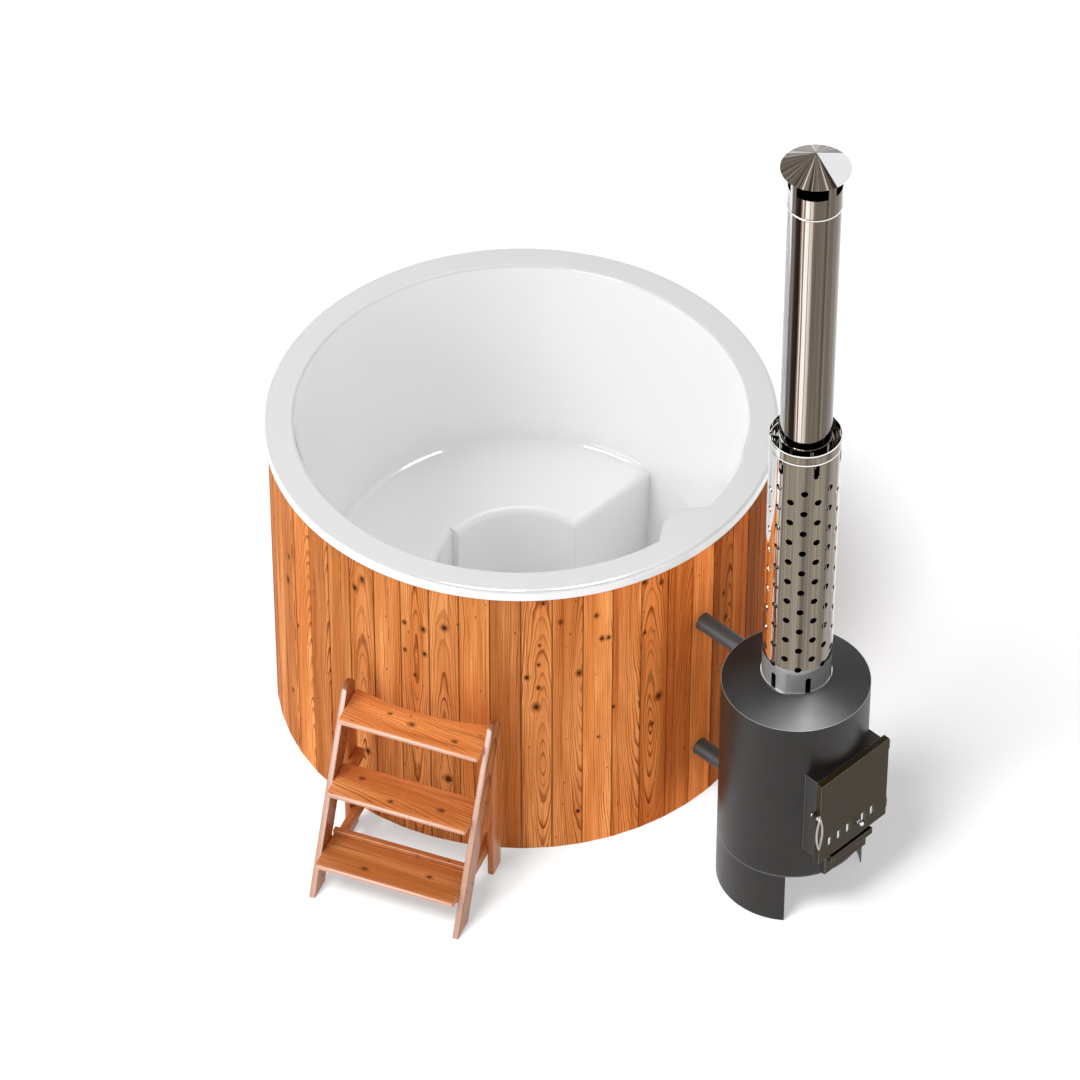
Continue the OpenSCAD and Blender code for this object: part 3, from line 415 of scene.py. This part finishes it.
def board_knots(s, board, hidden):
    """The knots of one board as (across, height, radius), with two random ones on hidden boards."""
    lists = {key: [k[1:] for k in BOARD_KNOTS if k[0] == key] for key in BOARD_KEYS}
    knots = []
    for index in range(KNOTS_PER_BOARD):
        values = {}
        for key, found in lists.items():
            if index < len(found):
                side, height, radius = (v / 1000 for v in found[index])
                values[key] = (side / KNOT_SPANS[0] + 0.5, height / KNOT_SPANS[1],
                               radius / KNOT_SPANS[2])
        read = board_table(s, board, values, (0.5, 0.0, 0.0))
        across, height, radius = (s.mul(read[i], KNOT_SPANS[i]) for i in range(3))
        across = s.sub(across, KNOT_SPANS[0] / 2)
        if index < RANDOM_KNOTS:
            other = s.random(s.add(board, 11.3 + 7.1 * index))
            across = s.add(across, s.mul(hidden, s.mul(s.sub(other[0], 0.5), 0.07)))
            height = s.add(height, s.mul(hidden, s.mul(other[1], 1.1)))
            radius = s.add(radius, s.mul(hidden, s.mul(other[2], 0.010)))
        knots.append((across, height, radius))
    return knots


def board_wood():
    """The cladding: each board has its own grain, tone and knots, and a dark seam at its sides."""
    s = Shader("board_wood")
    x, y, z = s.split(s.place())
    turn = s.div(s.math("ARCTAN2", y, x), BOARD_STEP)
    board = s.math("ROUND", turn)
    across = s.mul(s.sub(turn, board), BOARD_WIDTH)
    hidden = s.math("MAXIMUM", s.math("GREATER_THAN", board, BOARD_KEYS[-1] + 0.5),
                    s.math("LESS_THAN", board, BOARD_KEYS[0] - 0.5))
    looks = {key: (tone / TONE_SPAN, warm, figure)
             for key, (tone, warm, figure) in BOARD_LOOKS.items()}
    look = board_table(s, board, looks, (0.0, 0.0, 0.0))
    other = s.random(s.add(board, 91.3))
    tone = s.add(s.mul(look[0], TONE_SPAN), s.mul(hidden, s.add(0.72, s.mul(other[0], 0.42))))
    warm = s.add(look[1], s.mul(hidden, s.mul(other[1], 0.45)))
    figure = s.add(look[2], s.mul(hidden, s.math("GREATER_THAN", other[2], 0.6)))
    knots = board_knots(s, board, hidden)
    color, height = ring_colors(s, across, z, 0.0, board, figure, knots, BOARD_RING, 0.88)
    color = toned(s, color, tone, warm)
    side = s.math("ABSOLUTE", across)
    seam = s.ramp(side, BOARD_WIDTH / 2 - 0.0034, BOARD_WIDTH / 2 - 0.0010)
    color = s.mix(s.mul(seam, 0.60), color, SEAM_SHADE)
    normal = s.bump(height, 0.0008, 0.4)
    return s.surface(color, s.ramp(height, 0.0, 0.5, 0.50, 0.62), normal=normal,
                     specular_IOR_level=0.015)


def plank_wood(name, seed, tone, warm, figure=0.5, knots=(), lean=0.0, along_axis="up", front=0.0):
    """Wood of a ladder piece, with the grain along the piece. lean tilts it about the width.

    front sets how strongly a painted sheen lightens the faces that face the user."""
    s = Shader(name)
    toward_tub = LADDER_AZIMUTH + math.pi
    foot = Vector((-LADDER_FOOT, 0.0, 0.0))
    foot.rotate(Matrix.Rotation(toward_tub, 3, "Z"))
    turned = s.node("ShaderNodeMapping", {"Vector": s.place(), "Location": tuple(-foot)},
                    vector_type="POINT").outputs[0]
    turned = s.node("ShaderNodeVectorRotate", {"Vector": turned, "Angle": -toward_tub},
                    rotation_type="Z_AXIS").outputs[0]
    if lean:
        turned = s.node("ShaderNodeVectorRotate", {"Vector": turned, "Angle": -lean},
                        rotation_type="Y_AXIS").outputs[0]
    back, wide, up = s.split(turned)
    if along_axis == "up":
        across, along, depth = back, up, wide
    elif along_axis == "wide":
        across, along, depth = back, wide, up
    else:
        across, along, depth = up, back, wide
    color, height = ring_colors(s, across, along, depth, seed, figure, knots, LADDER_RING, 0.7)
    color = toned(s, color, tone, warm)
    facing = s.dot(s.node("ShaderNodeNewGeometry").outputs["Normal"], LADDER_FRONT)
    # Painted sheen on the faces that face the user
    color = s.mix(s.mul(s.ramp(facing, 0.66, 0.80), front), color, PAINTED_SHEEN)
    normal = s.bump(height, 0.0008, 0.5)
    return s.surface(color, s.ramp(height, 0.0, 0.5, 0.40, 0.52), normal=normal,
                     specular_IOR_level=0.12, coat_weight=0.6, coat_roughness=0.26)


def frame_wood():
    """Raw timber of the hidden frame."""
    s = Shader("frame_wood")
    x, y, z = s.split(s.place())
    grain = s.noise(s.join(s.mul(x, 90.0), s.mul(y, 4.0), s.mul(z, 90.0)), 1.0, 4.0, 0.6)
    color = s.colors(grain, [(0.3, (0.50, 0.33, 0.17)), (0.7, (0.72, 0.54, 0.33))])
    return s.surface(color, 0.8, normal=s.bump(grain, 0.001, 0.4))


# Moulded shell
SHELL_WHITE = (0.938, 0.941, 0.945)
# Painted shade for the rim's flat top, which is the same gel coat as the rest
RIM_SHADE = (0.72, 0.72, 0.72)
# Colour of the painted highlight along a paint's edges
EDGE_HIGHLIGHT = (0.52, 0.51, 0.49)
# How far corners look rounded on the shell, and how wide the painted highlight along a paint's edge is,
# in metres
SHELL_ROUND = 0.006
EDGE_HIGHLIGHT_WIDTH = 0.0015
BEVEL_SAMPLES = 6


def gel_coat():
    """Glossy white with a slight wave, soft at its corners, and painted shade on the rim's flat top."""
    s = Shader("gel_coat")
    wave = s.noise(s.place(), 3.0, 2.0, 0.4)
    rounded = s.node("ShaderNodeBevel", {"Radius": SHELL_ROUND}, samples=BEVEL_SAMPLES).outputs[0]
    height = s.split(s.place())[2]
    # Painted shade on the rim's flat top
    rim = s.ramp(height, TUB_TOP - 0.010, TUB_TOP - 0.002)
    color = s.mix(rim, SHELL_WHITE, RIM_SHADE)
    return s.surface(color, 0.30, normal=s.bump(wave, 0.010, 0.25, rounded), coat_weight=1.0,
                     coat_roughness=0.04, specular_IOR_level=0.2)


# Metal
def heater_angle(s):
    """Turn about the heater's axis, in radians, and the height."""
    x, y, z = s.split(s.place())
    return s.math("ARCTAN2", s.sub(y, HEATER_Y), s.sub(x, HEATER_X)), z


# The azimuth of the chimney's line that faces the photograph's camera
FRONT_AZIMUTH = math.radians(-45)
# Below this height the guard has a grey band of painted reflection, lighter to the left
GUARD_GREY_REFLECTION_TOP = TUB_TOP - 0.154
# A rolled ring lies this far in from its tube's end
RING_INSET = 0.002
# Painted reflections on the polished tubes, as bands from left to right as seen from the front: place
# from 0 to 1, colour
FLUE_REFLECTION_BANDS = [
    (0.00, (0.88, 0.87, 0.86)), (0.075, (0.90, 0.89, 0.88)), (0.09, (0.17, 0.14, 0.11)),
    (0.14, (0.155, 0.125, 0.095)), (0.155, (0.020, 0.014, 0.010)), (0.235, (0.012, 0.009, 0.007)),
    (0.25, (0.26, 0.10, 0.05)), (0.265, (0.36, 0.27, 0.21)), (0.28, (1.00, 0.97, 0.94)),
    (0.295, (0.36, 0.27, 0.20)), (0.31, (0.05, 0.035, 0.025)), (0.33, (1.00, 0.94, 0.89)),
    (0.385, (0.92, 0.82, 0.75)), (0.40, (0.20, 0.15, 0.11)), (0.415, (0.95, 0.86, 0.80)),
    (0.45, (0.62, 0.51, 0.43)), (0.475, (0.18, 0.15, 0.115)), (0.60, (0.17, 0.14, 0.11)),
    (0.69, (0.16, 0.13, 0.10)), (0.715, (0.07, 0.055, 0.042)), (0.745, (0.22, 0.185, 0.15)),
    (0.79, (0.155, 0.125, 0.10)), (0.93, (0.21, 0.18, 0.145)), (1.00, (0.34, 0.31, 0.27)),
]
GUARD_REFLECTION_BANDS = [
    (0.00, (0.80, 0.79, 0.78)), (0.13, (0.78, 0.77, 0.75)), (0.148, (0.06, 0.045, 0.035)),
    (0.165, (0.50, 0.47, 0.43)), (0.185, (0.10, 0.08, 0.06)), (0.23, (0.19, 0.16, 0.125)),
    (0.33, (0.17, 0.145, 0.11)), (0.40, (0.21, 0.185, 0.15)), (0.47, (0.17, 0.145, 0.115)),
    (0.50, (0.10, 0.08, 0.065)), (0.56, (0.15, 0.125, 0.10)), (0.66, (0.19, 0.165, 0.13)),
    (0.77, (0.155, 0.13, 0.10)), (0.81, (0.09, 0.075, 0.06)), (0.87, (0.20, 0.175, 0.14)),
    (0.95, (0.17, 0.145, 0.12)), (0.985, (0.55, 0.53, 0.50)),
]


def polished_steel(name, bands, wave, band_top, rings, gain):
    """Thin rolled steel with soft upright bands of painted reflection. Below the height band_top it
    has a grey band of painted reflection, lighter to the left, and is less metallic.

    rings lists the heights of rolled rings, each painted as a bright highlight line within a dark
    shade line. wave is how far the bands sway."""
    s = Shader(name)
    angle, z = heater_angle(s)
    side = s.math("SINE", s.sub(angle, FRONT_AZIMUTH))
    depth = s.math("COSINE", s.sub(angle, FRONT_AZIMUTH))
    wobble = s.sub(s.noise(s.join(s.mul(side, 3.0), depth, s.mul(z, 2.2)), 1.0, 2.0, 0.5), 0.5)
    place = s.add(s.add(s.mul(side, 0.5), 0.5), s.mul(wobble, 0.045 * wave))
    # The painted reflections, laid out round the front
    color = s.colors(place, bands)
    fine = s.noise(s.join(s.mul(side, 22.0), s.mul(depth, 22.0), s.mul(z, 0.7)), 1.0, 3.0, 0.6)
    shade = s.mul(s.ramp(fine, 0.32, 0.68, 0.74, 1.18), gain)
    color = s.mix(1.0, color, s.grey(shade), "MULTIPLY")
    # Each rolled ring is painted as a bright highlight line within a dark shade line
    for ring_z in rings:
        off = s.math("ABSOLUTE", s.sub(z, ring_z))
        color = s.mix(s.mul(s.ramp(off, 0.0062, 0.0050), 0.7), color, (0.03, 0.025, 0.02))
        color = s.mix(s.ramp(off, 0.0034, 0.0024), color, (0.92, 0.91, 0.90))
    dents = s.noise(s.join(s.mul(side, 1.8), s.mul(depth, 1.8), s.mul(z, 3.5)), 1.0, 1.0, 0.4)
    metallic = 1.0
    if band_top:
        # Painted grey reflection below band_top, lighter to the left
        low = s.ramp(z, band_top + 0.002, band_top - 0.002)
        color = s.mix(low, color, s.grey(s.ramp(side, -0.9, 0.9, 0.40, 0.20)))
        metallic = s.sub(1.0, s.mul(low, 0.65))
    return s.surface(color, 0.06, metallic, s.bump(dents, 0.0020 * wave, 0.35))


def cap_steel():
    """The rain cap's painted reflection: a fan of bright and dark sectors, and one white sector."""
    s = Shader("cap_steel")
    angle = heater_angle(s)[0]
    around = s.join(s.mul(s.math("COSINE", angle), 5.0), s.mul(s.math("SINE", angle), 5.0), 2.0)
    # Painted reflection: bright and dark sectors round the cap
    fan = s.noise(around, 1.7, 5.0, 0.8)
    color = s.colors(fan, [(0.42, (0.012, 0.009, 0.007)), (0.47, (0.11, 0.085, 0.065)),
                           (0.51, (0.24, 0.20, 0.16)), (0.54, (0.10, 0.08, 0.06)),
                           (0.56, (0.02, 0.015, 0.012)), (0.60, (0.70, 0.62, 0.56))])
    # A painted white reflection on one sector of the cap
    white_reflection = s.mul(s.ramp(angle, math.radians(-12), math.radians(-10)),
                  s.ramp(angle, math.radians(86), math.radians(82)))
    color = s.mix(white_reflection, color, (0.80, 0.80, 0.81))
    return s.surface(color, 0.14, 1.0)


def plain_metal(name, color, roughness, scale=60.0, depth=0.0004):
    """Bare or plated metal with a cloudy grain."""
    s = Shader(name)
    grain = s.noise(s.place(), scale, 4.0, 0.6)
    shade = s.ramp(grain, 0.3, 0.7, 0.86, 1.08, smooth=False)
    clouded = s.mix(1.0, color, s.grey(shade), "MULTIPLY")
    dull = s.ramp(grain, 0.3, 0.7, roughness - 0.04, roughness + 0.05)
    return s.surface(clouded, dull, 1.0, s.bump(grain, depth, 0.4))


def edge_mask(s, radius):
    """1 along the piece's outer edges and 0 on its faces."""
    rounded = s.node("ShaderNodeBevel", {"Radius": radius}, samples=BEVEL_SAMPLES).outputs[0]
    flat = s.node("ShaderNodeNewGeometry").outputs["Normal"]
    return s.ramp(s.dot(rounded, flat), 0.985, 0.90)


def powder_coat(name, color, roughness, gloss=0.5, edges=0.0):
    """Baked paint with a fine orange-peel grain, light dust and edges made pale by a painted highlight.
    """
    s = Shader(name)
    peel = s.noise(s.place(), 900.0, 2.0, 0.6)
    cloud = s.noise(s.place(), 7.0, 3.0, 0.6)
    shade = s.ramp(cloud, 0.35, 0.65, 0.88, 1.12)
    painted = s.mix(1.0, color, s.grey(shade), "MULTIPLY")
    # A painted highlight along the piece's outer edges
    if edges:
        painted = s.mix(s.mul(edge_mask(s, EDGE_HIGHLIGHT_WIDTH), edges), painted, EDGE_HIGHLIGHT)
    return s.surface(painted, s.ramp(cloud, 0.3, 0.7, roughness - 0.03, roughness + 0.04),
                     normal=s.bump(peel, 0.0003, 0.25), specular_IOR_level=gloss)


def moulded(name, color, roughness):
    """Smooth plastic."""
    s = Shader(name)
    grain = s.noise(s.place(), 500.0, 2.0)
    return s.surface(color, roughness, normal=s.bump(grain, 0.0002, 0.3))


def rope_fibre():
    """Woven glass rope of the door's seal."""
    s = Shader("rope_fibre")
    weave = s.node("ShaderNodeTexWave", {"Vector": s.place(), "Scale": 130.0, "Distortion": 1.5,
                                         "Detail": 2.0}).outputs["Fac"]
    return s.surface(s.colors(weave, [(0.0, (0.20, 0.18, 0.16)), (1.0, (0.50, 0.47, 0.43))]), 0.9,
                     normal=s.bump(weave, 0.002, 0.8))


def foam_board():
    """Rigid foam under the floor."""
    s = Shader("foam_board")
    cells = s.node("ShaderNodeTexVoronoi", {"Vector": s.place(), "Scale": 300.0}).outputs["Distance"]
    return s.surface((0.70, 0.69, 0.62), 0.85, normal=s.bump(cells, 0.001, 0.4))


# The floor's paint as seen and as diffuse light finds it, its glow, half its side and its height
FLOOR_SEEN = 0.22
FLOOR_BOUNCE = 0.37
FLOOR_GLOW = 0.46
FLOOR_HALF = 30.0
FLOOR_LEVEL = -0.0005


def white_floor():
    """White, with a glow where it is seen directly or in a mirror, so that only shadows show."""
    s = Shader("white_floor")
    bounced = s.node("ShaderNodeLightPath").outputs["Is Diffuse Ray"]
    shade = s.grey(s.add(FLOOR_SEEN, s.mul(bounced, FLOOR_BOUNCE - FLOOR_SEEN)))
    paint = s.node("ShaderNodeBsdfDiffuse", {"Color": shade})
    glow = s.node("ShaderNodeEmission", {"Color": (1.0, 1.0, 1.0),
                                         "Strength": s.mul(s.sub(1.0, bounced), FLOOR_GLOW)})
    both = s.node("ShaderNodeAddShader", {0: paint.outputs[0], 1: glow.outputs[0]})
    return s.finish(both)


def lay_floor(material):
    mesh = bpy.data.meshes.new("floor")
    half = FLOOR_HALF
    corners = [(-half, -half, 0), (half, -half, 0), (half, half, 0), (-half, half, 0)]
    mesh.from_pydata(corners, [], [(0, 1, 2, 3)])
    mesh.materials.append(material)
    floor = bpy.data.objects.new("floor", mesh)
    collection.objects.link(floor)
    floor.location.z = FLOOR_LEVEL
    return floor


# Pieces
def dress(material, *names):
    """Give these CAD nodes the material."""
    for name in names:
        node = nodes[name]
        node.data.materials.clear()
        node.data.materials.append(material)


def stand_for(name, mesh, material):
    """A piece of that mesh, which takes the place and the body of a CAD node."""
    mesh.materials.clear()
    mesh.materials.append(material)
    piece = bpy.data.objects.new(name + "_look", mesh)
    collection.objects.link(piece)
    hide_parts(name)
    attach(piece, nodes[name]["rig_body"])
    return piece


def softened(name, width, material):
    """A copy of a ladder node with rounded edges."""
    mesh = nodes[name].data.copy()
    made = bmesh.new()
    made.from_mesh(mesh)
    bmesh.ops.remove_doubles(made, verts=made.verts, dist=1e-5)
    bmesh.ops.dissolve_limit(made, angle_limit=math.radians(0.5), verts=made.verts, edges=made.edges)
    made.to_mesh(mesh)
    made.free()
    for polygon in mesh.polygons:
        polygon.use_smooth = True
    piece = stand_for(name, mesh, material)
    round_edges = piece.modifiers.new("edges", "BEVEL")
    round_edges.width = width
    round_edges.segments = 3
    round_edges.limit_method = "ANGLE"
    round_edges.angle_limit = math.radians(35)
    round_edges.harden_normals = True


# Latch, in metres: half the width of the solid's loop, then the bow of its wires and their radius
LATCH_HALF_WIDTH = 0.0185
LATCH_BOW = 0.0125
WIRE_RADIUS = 0.0034
# Radii of its rounded ends and pin, its disc and nut, and its cam
END_RADIUS = 0.004
DISC_RADIUS = 0.008
NUT_RADIUS = 0.007
CAM_RADIUS = 0.005
CAM_THICKNESS = 0.004
# Front and back of the disc, behind the latch's foremost point
DISC_FRONT = 0.0075
DISC_BACK = 0.0135
BAR_SIDES = 16
WIRE_STEPS = 12


def round_bar(made, points, normals, radius):
    """A closed round bar along the points. Each ring lies in the plane of its normal and X."""
    rings = []
    for point, normal in zip(points, normals):
        ring = []
        for step in range(BAR_SIDES):
            turn = 2 * math.pi * step / BAR_SIDES
            around = math.cos(turn) * normal + math.sin(turn) * Vector((1, 0, 0))
            ring.append(made.verts.new(point + radius * around))
        rings.append(ring)
    for one, other in zip(rings, rings[1:]):
        for step in range(BAR_SIDES):
            after = (step + 1) % BAR_SIDES
            made.faces.new((one[step], one[after], other[after], other[step]))
    made.faces.new(rings[0])
    made.faces.new(rings[-1])


def straight_pin(made, start, end, radius, y, z):
    """A round pin along X."""
    place = Matrix.Translation(((start + end) / 2, y, z)) @ Matrix.Rotation(math.radians(90), 4, "Y")
    bmesh.ops.create_cone(made, cap_ends=True, segments=32, radius1=radius, radius2=radius,
                          depth=end - start, matrix=place)


def bowed_latch(material):
    """The latch with its two bowed wires, which stands for the straight loop of the CAD node."""
    low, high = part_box("latch_handle")
    back = low[0]
    wire_x = high[0] - END_RADIUS
    pin_y = low[1] + LATCH_HALF_WIDTH
    pin_z = high[2] - DISC_RADIUS
    cam_y = high[1] - CAM_RADIUS
    half = (pin_z - low[2] - END_RADIUS) / 2
    made = bmesh.new()
    for side in (-1, 1):
        points = []
        normals = []
        for step in range(2 * WIRE_STEPS + 1):
            t = step / WIRE_STEPS - 1
            y = pin_y + side * LATCH_BOW * (1 - t * t)
            points.append(Vector((wire_x, y, pin_z + half * (t - 1))))
            normals.append(Vector((0, 1, 2 * side * LATCH_BOW * t / half)).normalized())
        round_bar(made, points, normals, WIRE_RADIUS)
    for z in (pin_z, pin_z - 2 * half):
        bmesh.ops.create_uvsphere(made, u_segments=24, v_segments=16, radius=END_RADIUS,
                                  matrix=Matrix.Translation((wire_x, pin_y, z)))
    straight_pin(made, back, wire_x, END_RADIUS, pin_y, pin_z)
    straight_pin(made, high[0] - DISC_BACK, high[0] - DISC_FRONT, DISC_RADIUS, pin_y, pin_z)
    straight_pin(made, back, back + NUT_RADIUS, NUT_RADIUS, pin_y, pin_z)
    straight_pin(made, back, back + CAM_THICKNESS, CAM_RADIUS, cam_y, pin_z)
    for face in made.faces:
        face.smooth = len(face.verts) <= 4
    cam = Matrix.Translation((back + CAM_THICKNESS / 2, (pin_y + cam_y) / 2, pin_z))
    cam = cam @ Matrix.Diagonal((CAM_THICKNESS, cam_y - pin_y, 2 * CAM_RADIUS, 1))
    bmesh.ops.create_cube(made, size=1.0, matrix=cam)
    bmesh.ops.recalc_face_normals(made, faces=made.faces)
    mesh = bpy.data.meshes.new("latch_handle_look")
    made.to_mesh(mesh)
    made.free()
    stand_for("latch_handle", mesh, material)


place_camera()
light_world(horizon=0.90, zenith=0.60)
# Each lamp's azimuth, elevation, distance, size, radiance and the point that it aims at
area_light("key", -112, 36, 9.0, (4.4, 4.4), 3.6, (0.4, 0.0, 0.6), color=(1.0, 0.99, 0.98))
softbox("low_box", -84, 20, 5.0, (2.6, 3.6), 16.0, (0.45, -1.05, 0.4))
floor = lay_floor(white_floor())
floor_sun(azimuth=-88, elevation=60, spread=20, strength=8.1, floor=floor)
light_only(softbox("top_box", 105, 84, 8.0, (2.4, 2.4), 130.0, (HEATER_X, HEATER_Y, 0.9)),
           nodes["heater_top"])
# Soft highlights on the shell's far wall: azimuth, elevation, radiance
SHELL_BOXES = [(176, 72, 25), (148, 75, 60), (113, 73, 80), (93, 69, 50)]
for index, (azimuth, elevation, radiance) in enumerate(SHELL_BOXES):
    lamp = softbox("shell_box_" + str(index), azimuth, elevation, 8.0, (1.1, 1.1), radiance,
                   (-0.45, 0.45, 0.5))
    light_only(lamp, nodes["tub_liner"])

gel = gel_coat()
boards = board_wood()
timber = frame_wood()
paint = powder_coat("heater_paint", (0.0140, 0.0120, 0.0105), 0.36, gloss=0.32, edges=0.6)
# The heater paint made darker on the upward top plate, as painted shade
shaded_top_paint = powder_coat("shaded_top_paint", (0.0085, 0.0075, 0.0065), 0.36, gloss=0.25, edges=0.6)
door_paint = powder_coat("door_paint", (0.031, 0.0205, 0.0055), 0.38, gloss=0.10, edges=0.6)
pipe_black = moulded("pipe_black", (0.058, 0.068, 0.074), 0.45)
grey_plastic = moulded("grey_plastic", (0.22, 0.225, 0.235), 0.5)
collar_low, collar_high = (corner[2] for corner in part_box("guard_collar"))
guard_steel = polished_steel("guard_steel", GUARD_REFLECTION_BANDS, 1.3, GUARD_GREY_REFLECTION_TOP,
                             (collar_low + RING_INSET, collar_high - RING_INSET), 1.35)
flue_steel = polished_steel("flue_steel", FLUE_REFLECTION_BANDS, 0.7, 0.0,
                            (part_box("cap_sleeve")[0][2] + RING_INSET,), 0.85)
ring_steel = plain_metal("ring_steel", (0.90, 0.89, 0.88), 0.22)
galvanized = plain_metal("galvanized", (0.80, 0.81, 0.83), 0.38)
chrome = plain_metal("chrome", (0.80, 0.80, 0.79), 0.08, 20.0, 0.0)
latch_steel = plain_metal("latch_steel", (0.46, 0.42, 0.39), 0.16, 20.0, 0.0)
dull_steel = plain_metal("dull_steel", (0.22, 0.21, 0.20), 0.45)
grate_iron = plain_metal("grate_iron", (0.06, 0.055, 0.05), 0.7)

dress(gel, "tub_liner", "wall_flanges", "water_grilles")
dress(boards, "cladding_heater_side", "pipe_board", "cladding_far_side", "cladding_rear",
      "cladding_ladder_side")
dress(timber, "wall_studs", "frame_rings", "base_joists", "base_panel")
dress(foam_board(), "floor_insulation")
dress(grey_plastic, "drain_elbow", "lock_nuts")
dress(chrome, "drain_strainer", "drain_valve", "air_knob")
bowed_latch(latch_steel)
dress(galvanized, "air_slider")
dress(powder_coat("lever_red", (0.45, 0.02, 0.015), 0.35), "drain_lever")
dress(pipe_black, "upper_pipe", "lower_pipe")
dress(paint, "heater_shell", "port_plates", "heater_bottom", "heater_stand", "door_neck", "ash_neck",
      "hinge_brackets")
dress(shaded_top_paint, "heater_top")
dress(door_paint, "ash_drawer", "door_panel", "door_knuckles", "latch_bracket")
dress(dull_steel, "firebox", "drawer_runners", "slider_guides", "flue_spigot", "hinge_pins",
      "ladder_screws")
dress(grate_iron, "fire_grate")
dress(rope_fibre(), "door_rope")
dress(guard_steel, "guard_tube", "guard_collar", "guard_spacers")
dress(flue_steel, "flue_lower", "flue_upper", "cap_sleeve")
dress(ring_steel, "guard_base_ring")
dress(cap_steel(), "rain_cap")

# How far the edges of the ladder's pieces are rounded, in metres
TREAD_ROUND = 0.004
LEG_ROUND = 0.004
SIDE_ROUND = 0.0025
BEARER_ROUND = 0.003
# Treads: seed, tone, grain figure and knots as (across, along, radius) in metres
TREADS = {
    "lower_tread": (3.0, 0.98, -1.5, [(0.05, 0.08, 0.007), (0.09, -0.12, 0.006)]),
    "middle_tread": (4.0, 1.18, 0.2, [(0.15, 0.03, 0.006), (0.17, -0.13, 0.007),
                                      (0.21, 0.15, 0.006)]),
    "upper_tread": (5.0, 1.34, 0.2, [(0.28, 0.01, 0.008), (0.30, 0.09, 0.005),
                                     (0.26, -0.14, 0.006)]),
}
for name, (seed, tone, figure, knots) in TREADS.items():
    wood = plank_wood(name + "_wood", seed, tone, 0.0, figure, knots, along_axis="wide", front=0.75)
    softened(name, TREAD_ROUND, wood)
side_lean = math.atan(TREAD_GOING / TREAD_RISE)
for name, seed in (("ladder_left_side", 11.0), ("ladder_right_side", 12.0)):
    wood = plank_wood(name + "_wood", seed, 0.50, 0.4, 0.2, lean=side_lean, front=0.68)
    softened(name, SIDE_ROUND, wood)
for name, seed in (("ladder_left_leg", 17.0), ("ladder_right_leg", 18.0)):
    softened(name, LEG_ROUND, plank_wood(name + "_wood", seed, 0.76, 0.4, 0.3))
bearer_wood = plank_wood("bearer_wood", 23.0, 0.7, 0.4, along_axis="back")
softened("tread_bearers", BEARER_ROUND, bearer_wood)
crossbar_wood = plank_wood("crossbar_wood", 29.0, 0.8, 0.3, along_axis="wide")
softened("ladder_crossbar", BEARER_ROUND, crossbar_wood)

view = bpy.context.scene.view_settings
view.view_transform = "Standard"
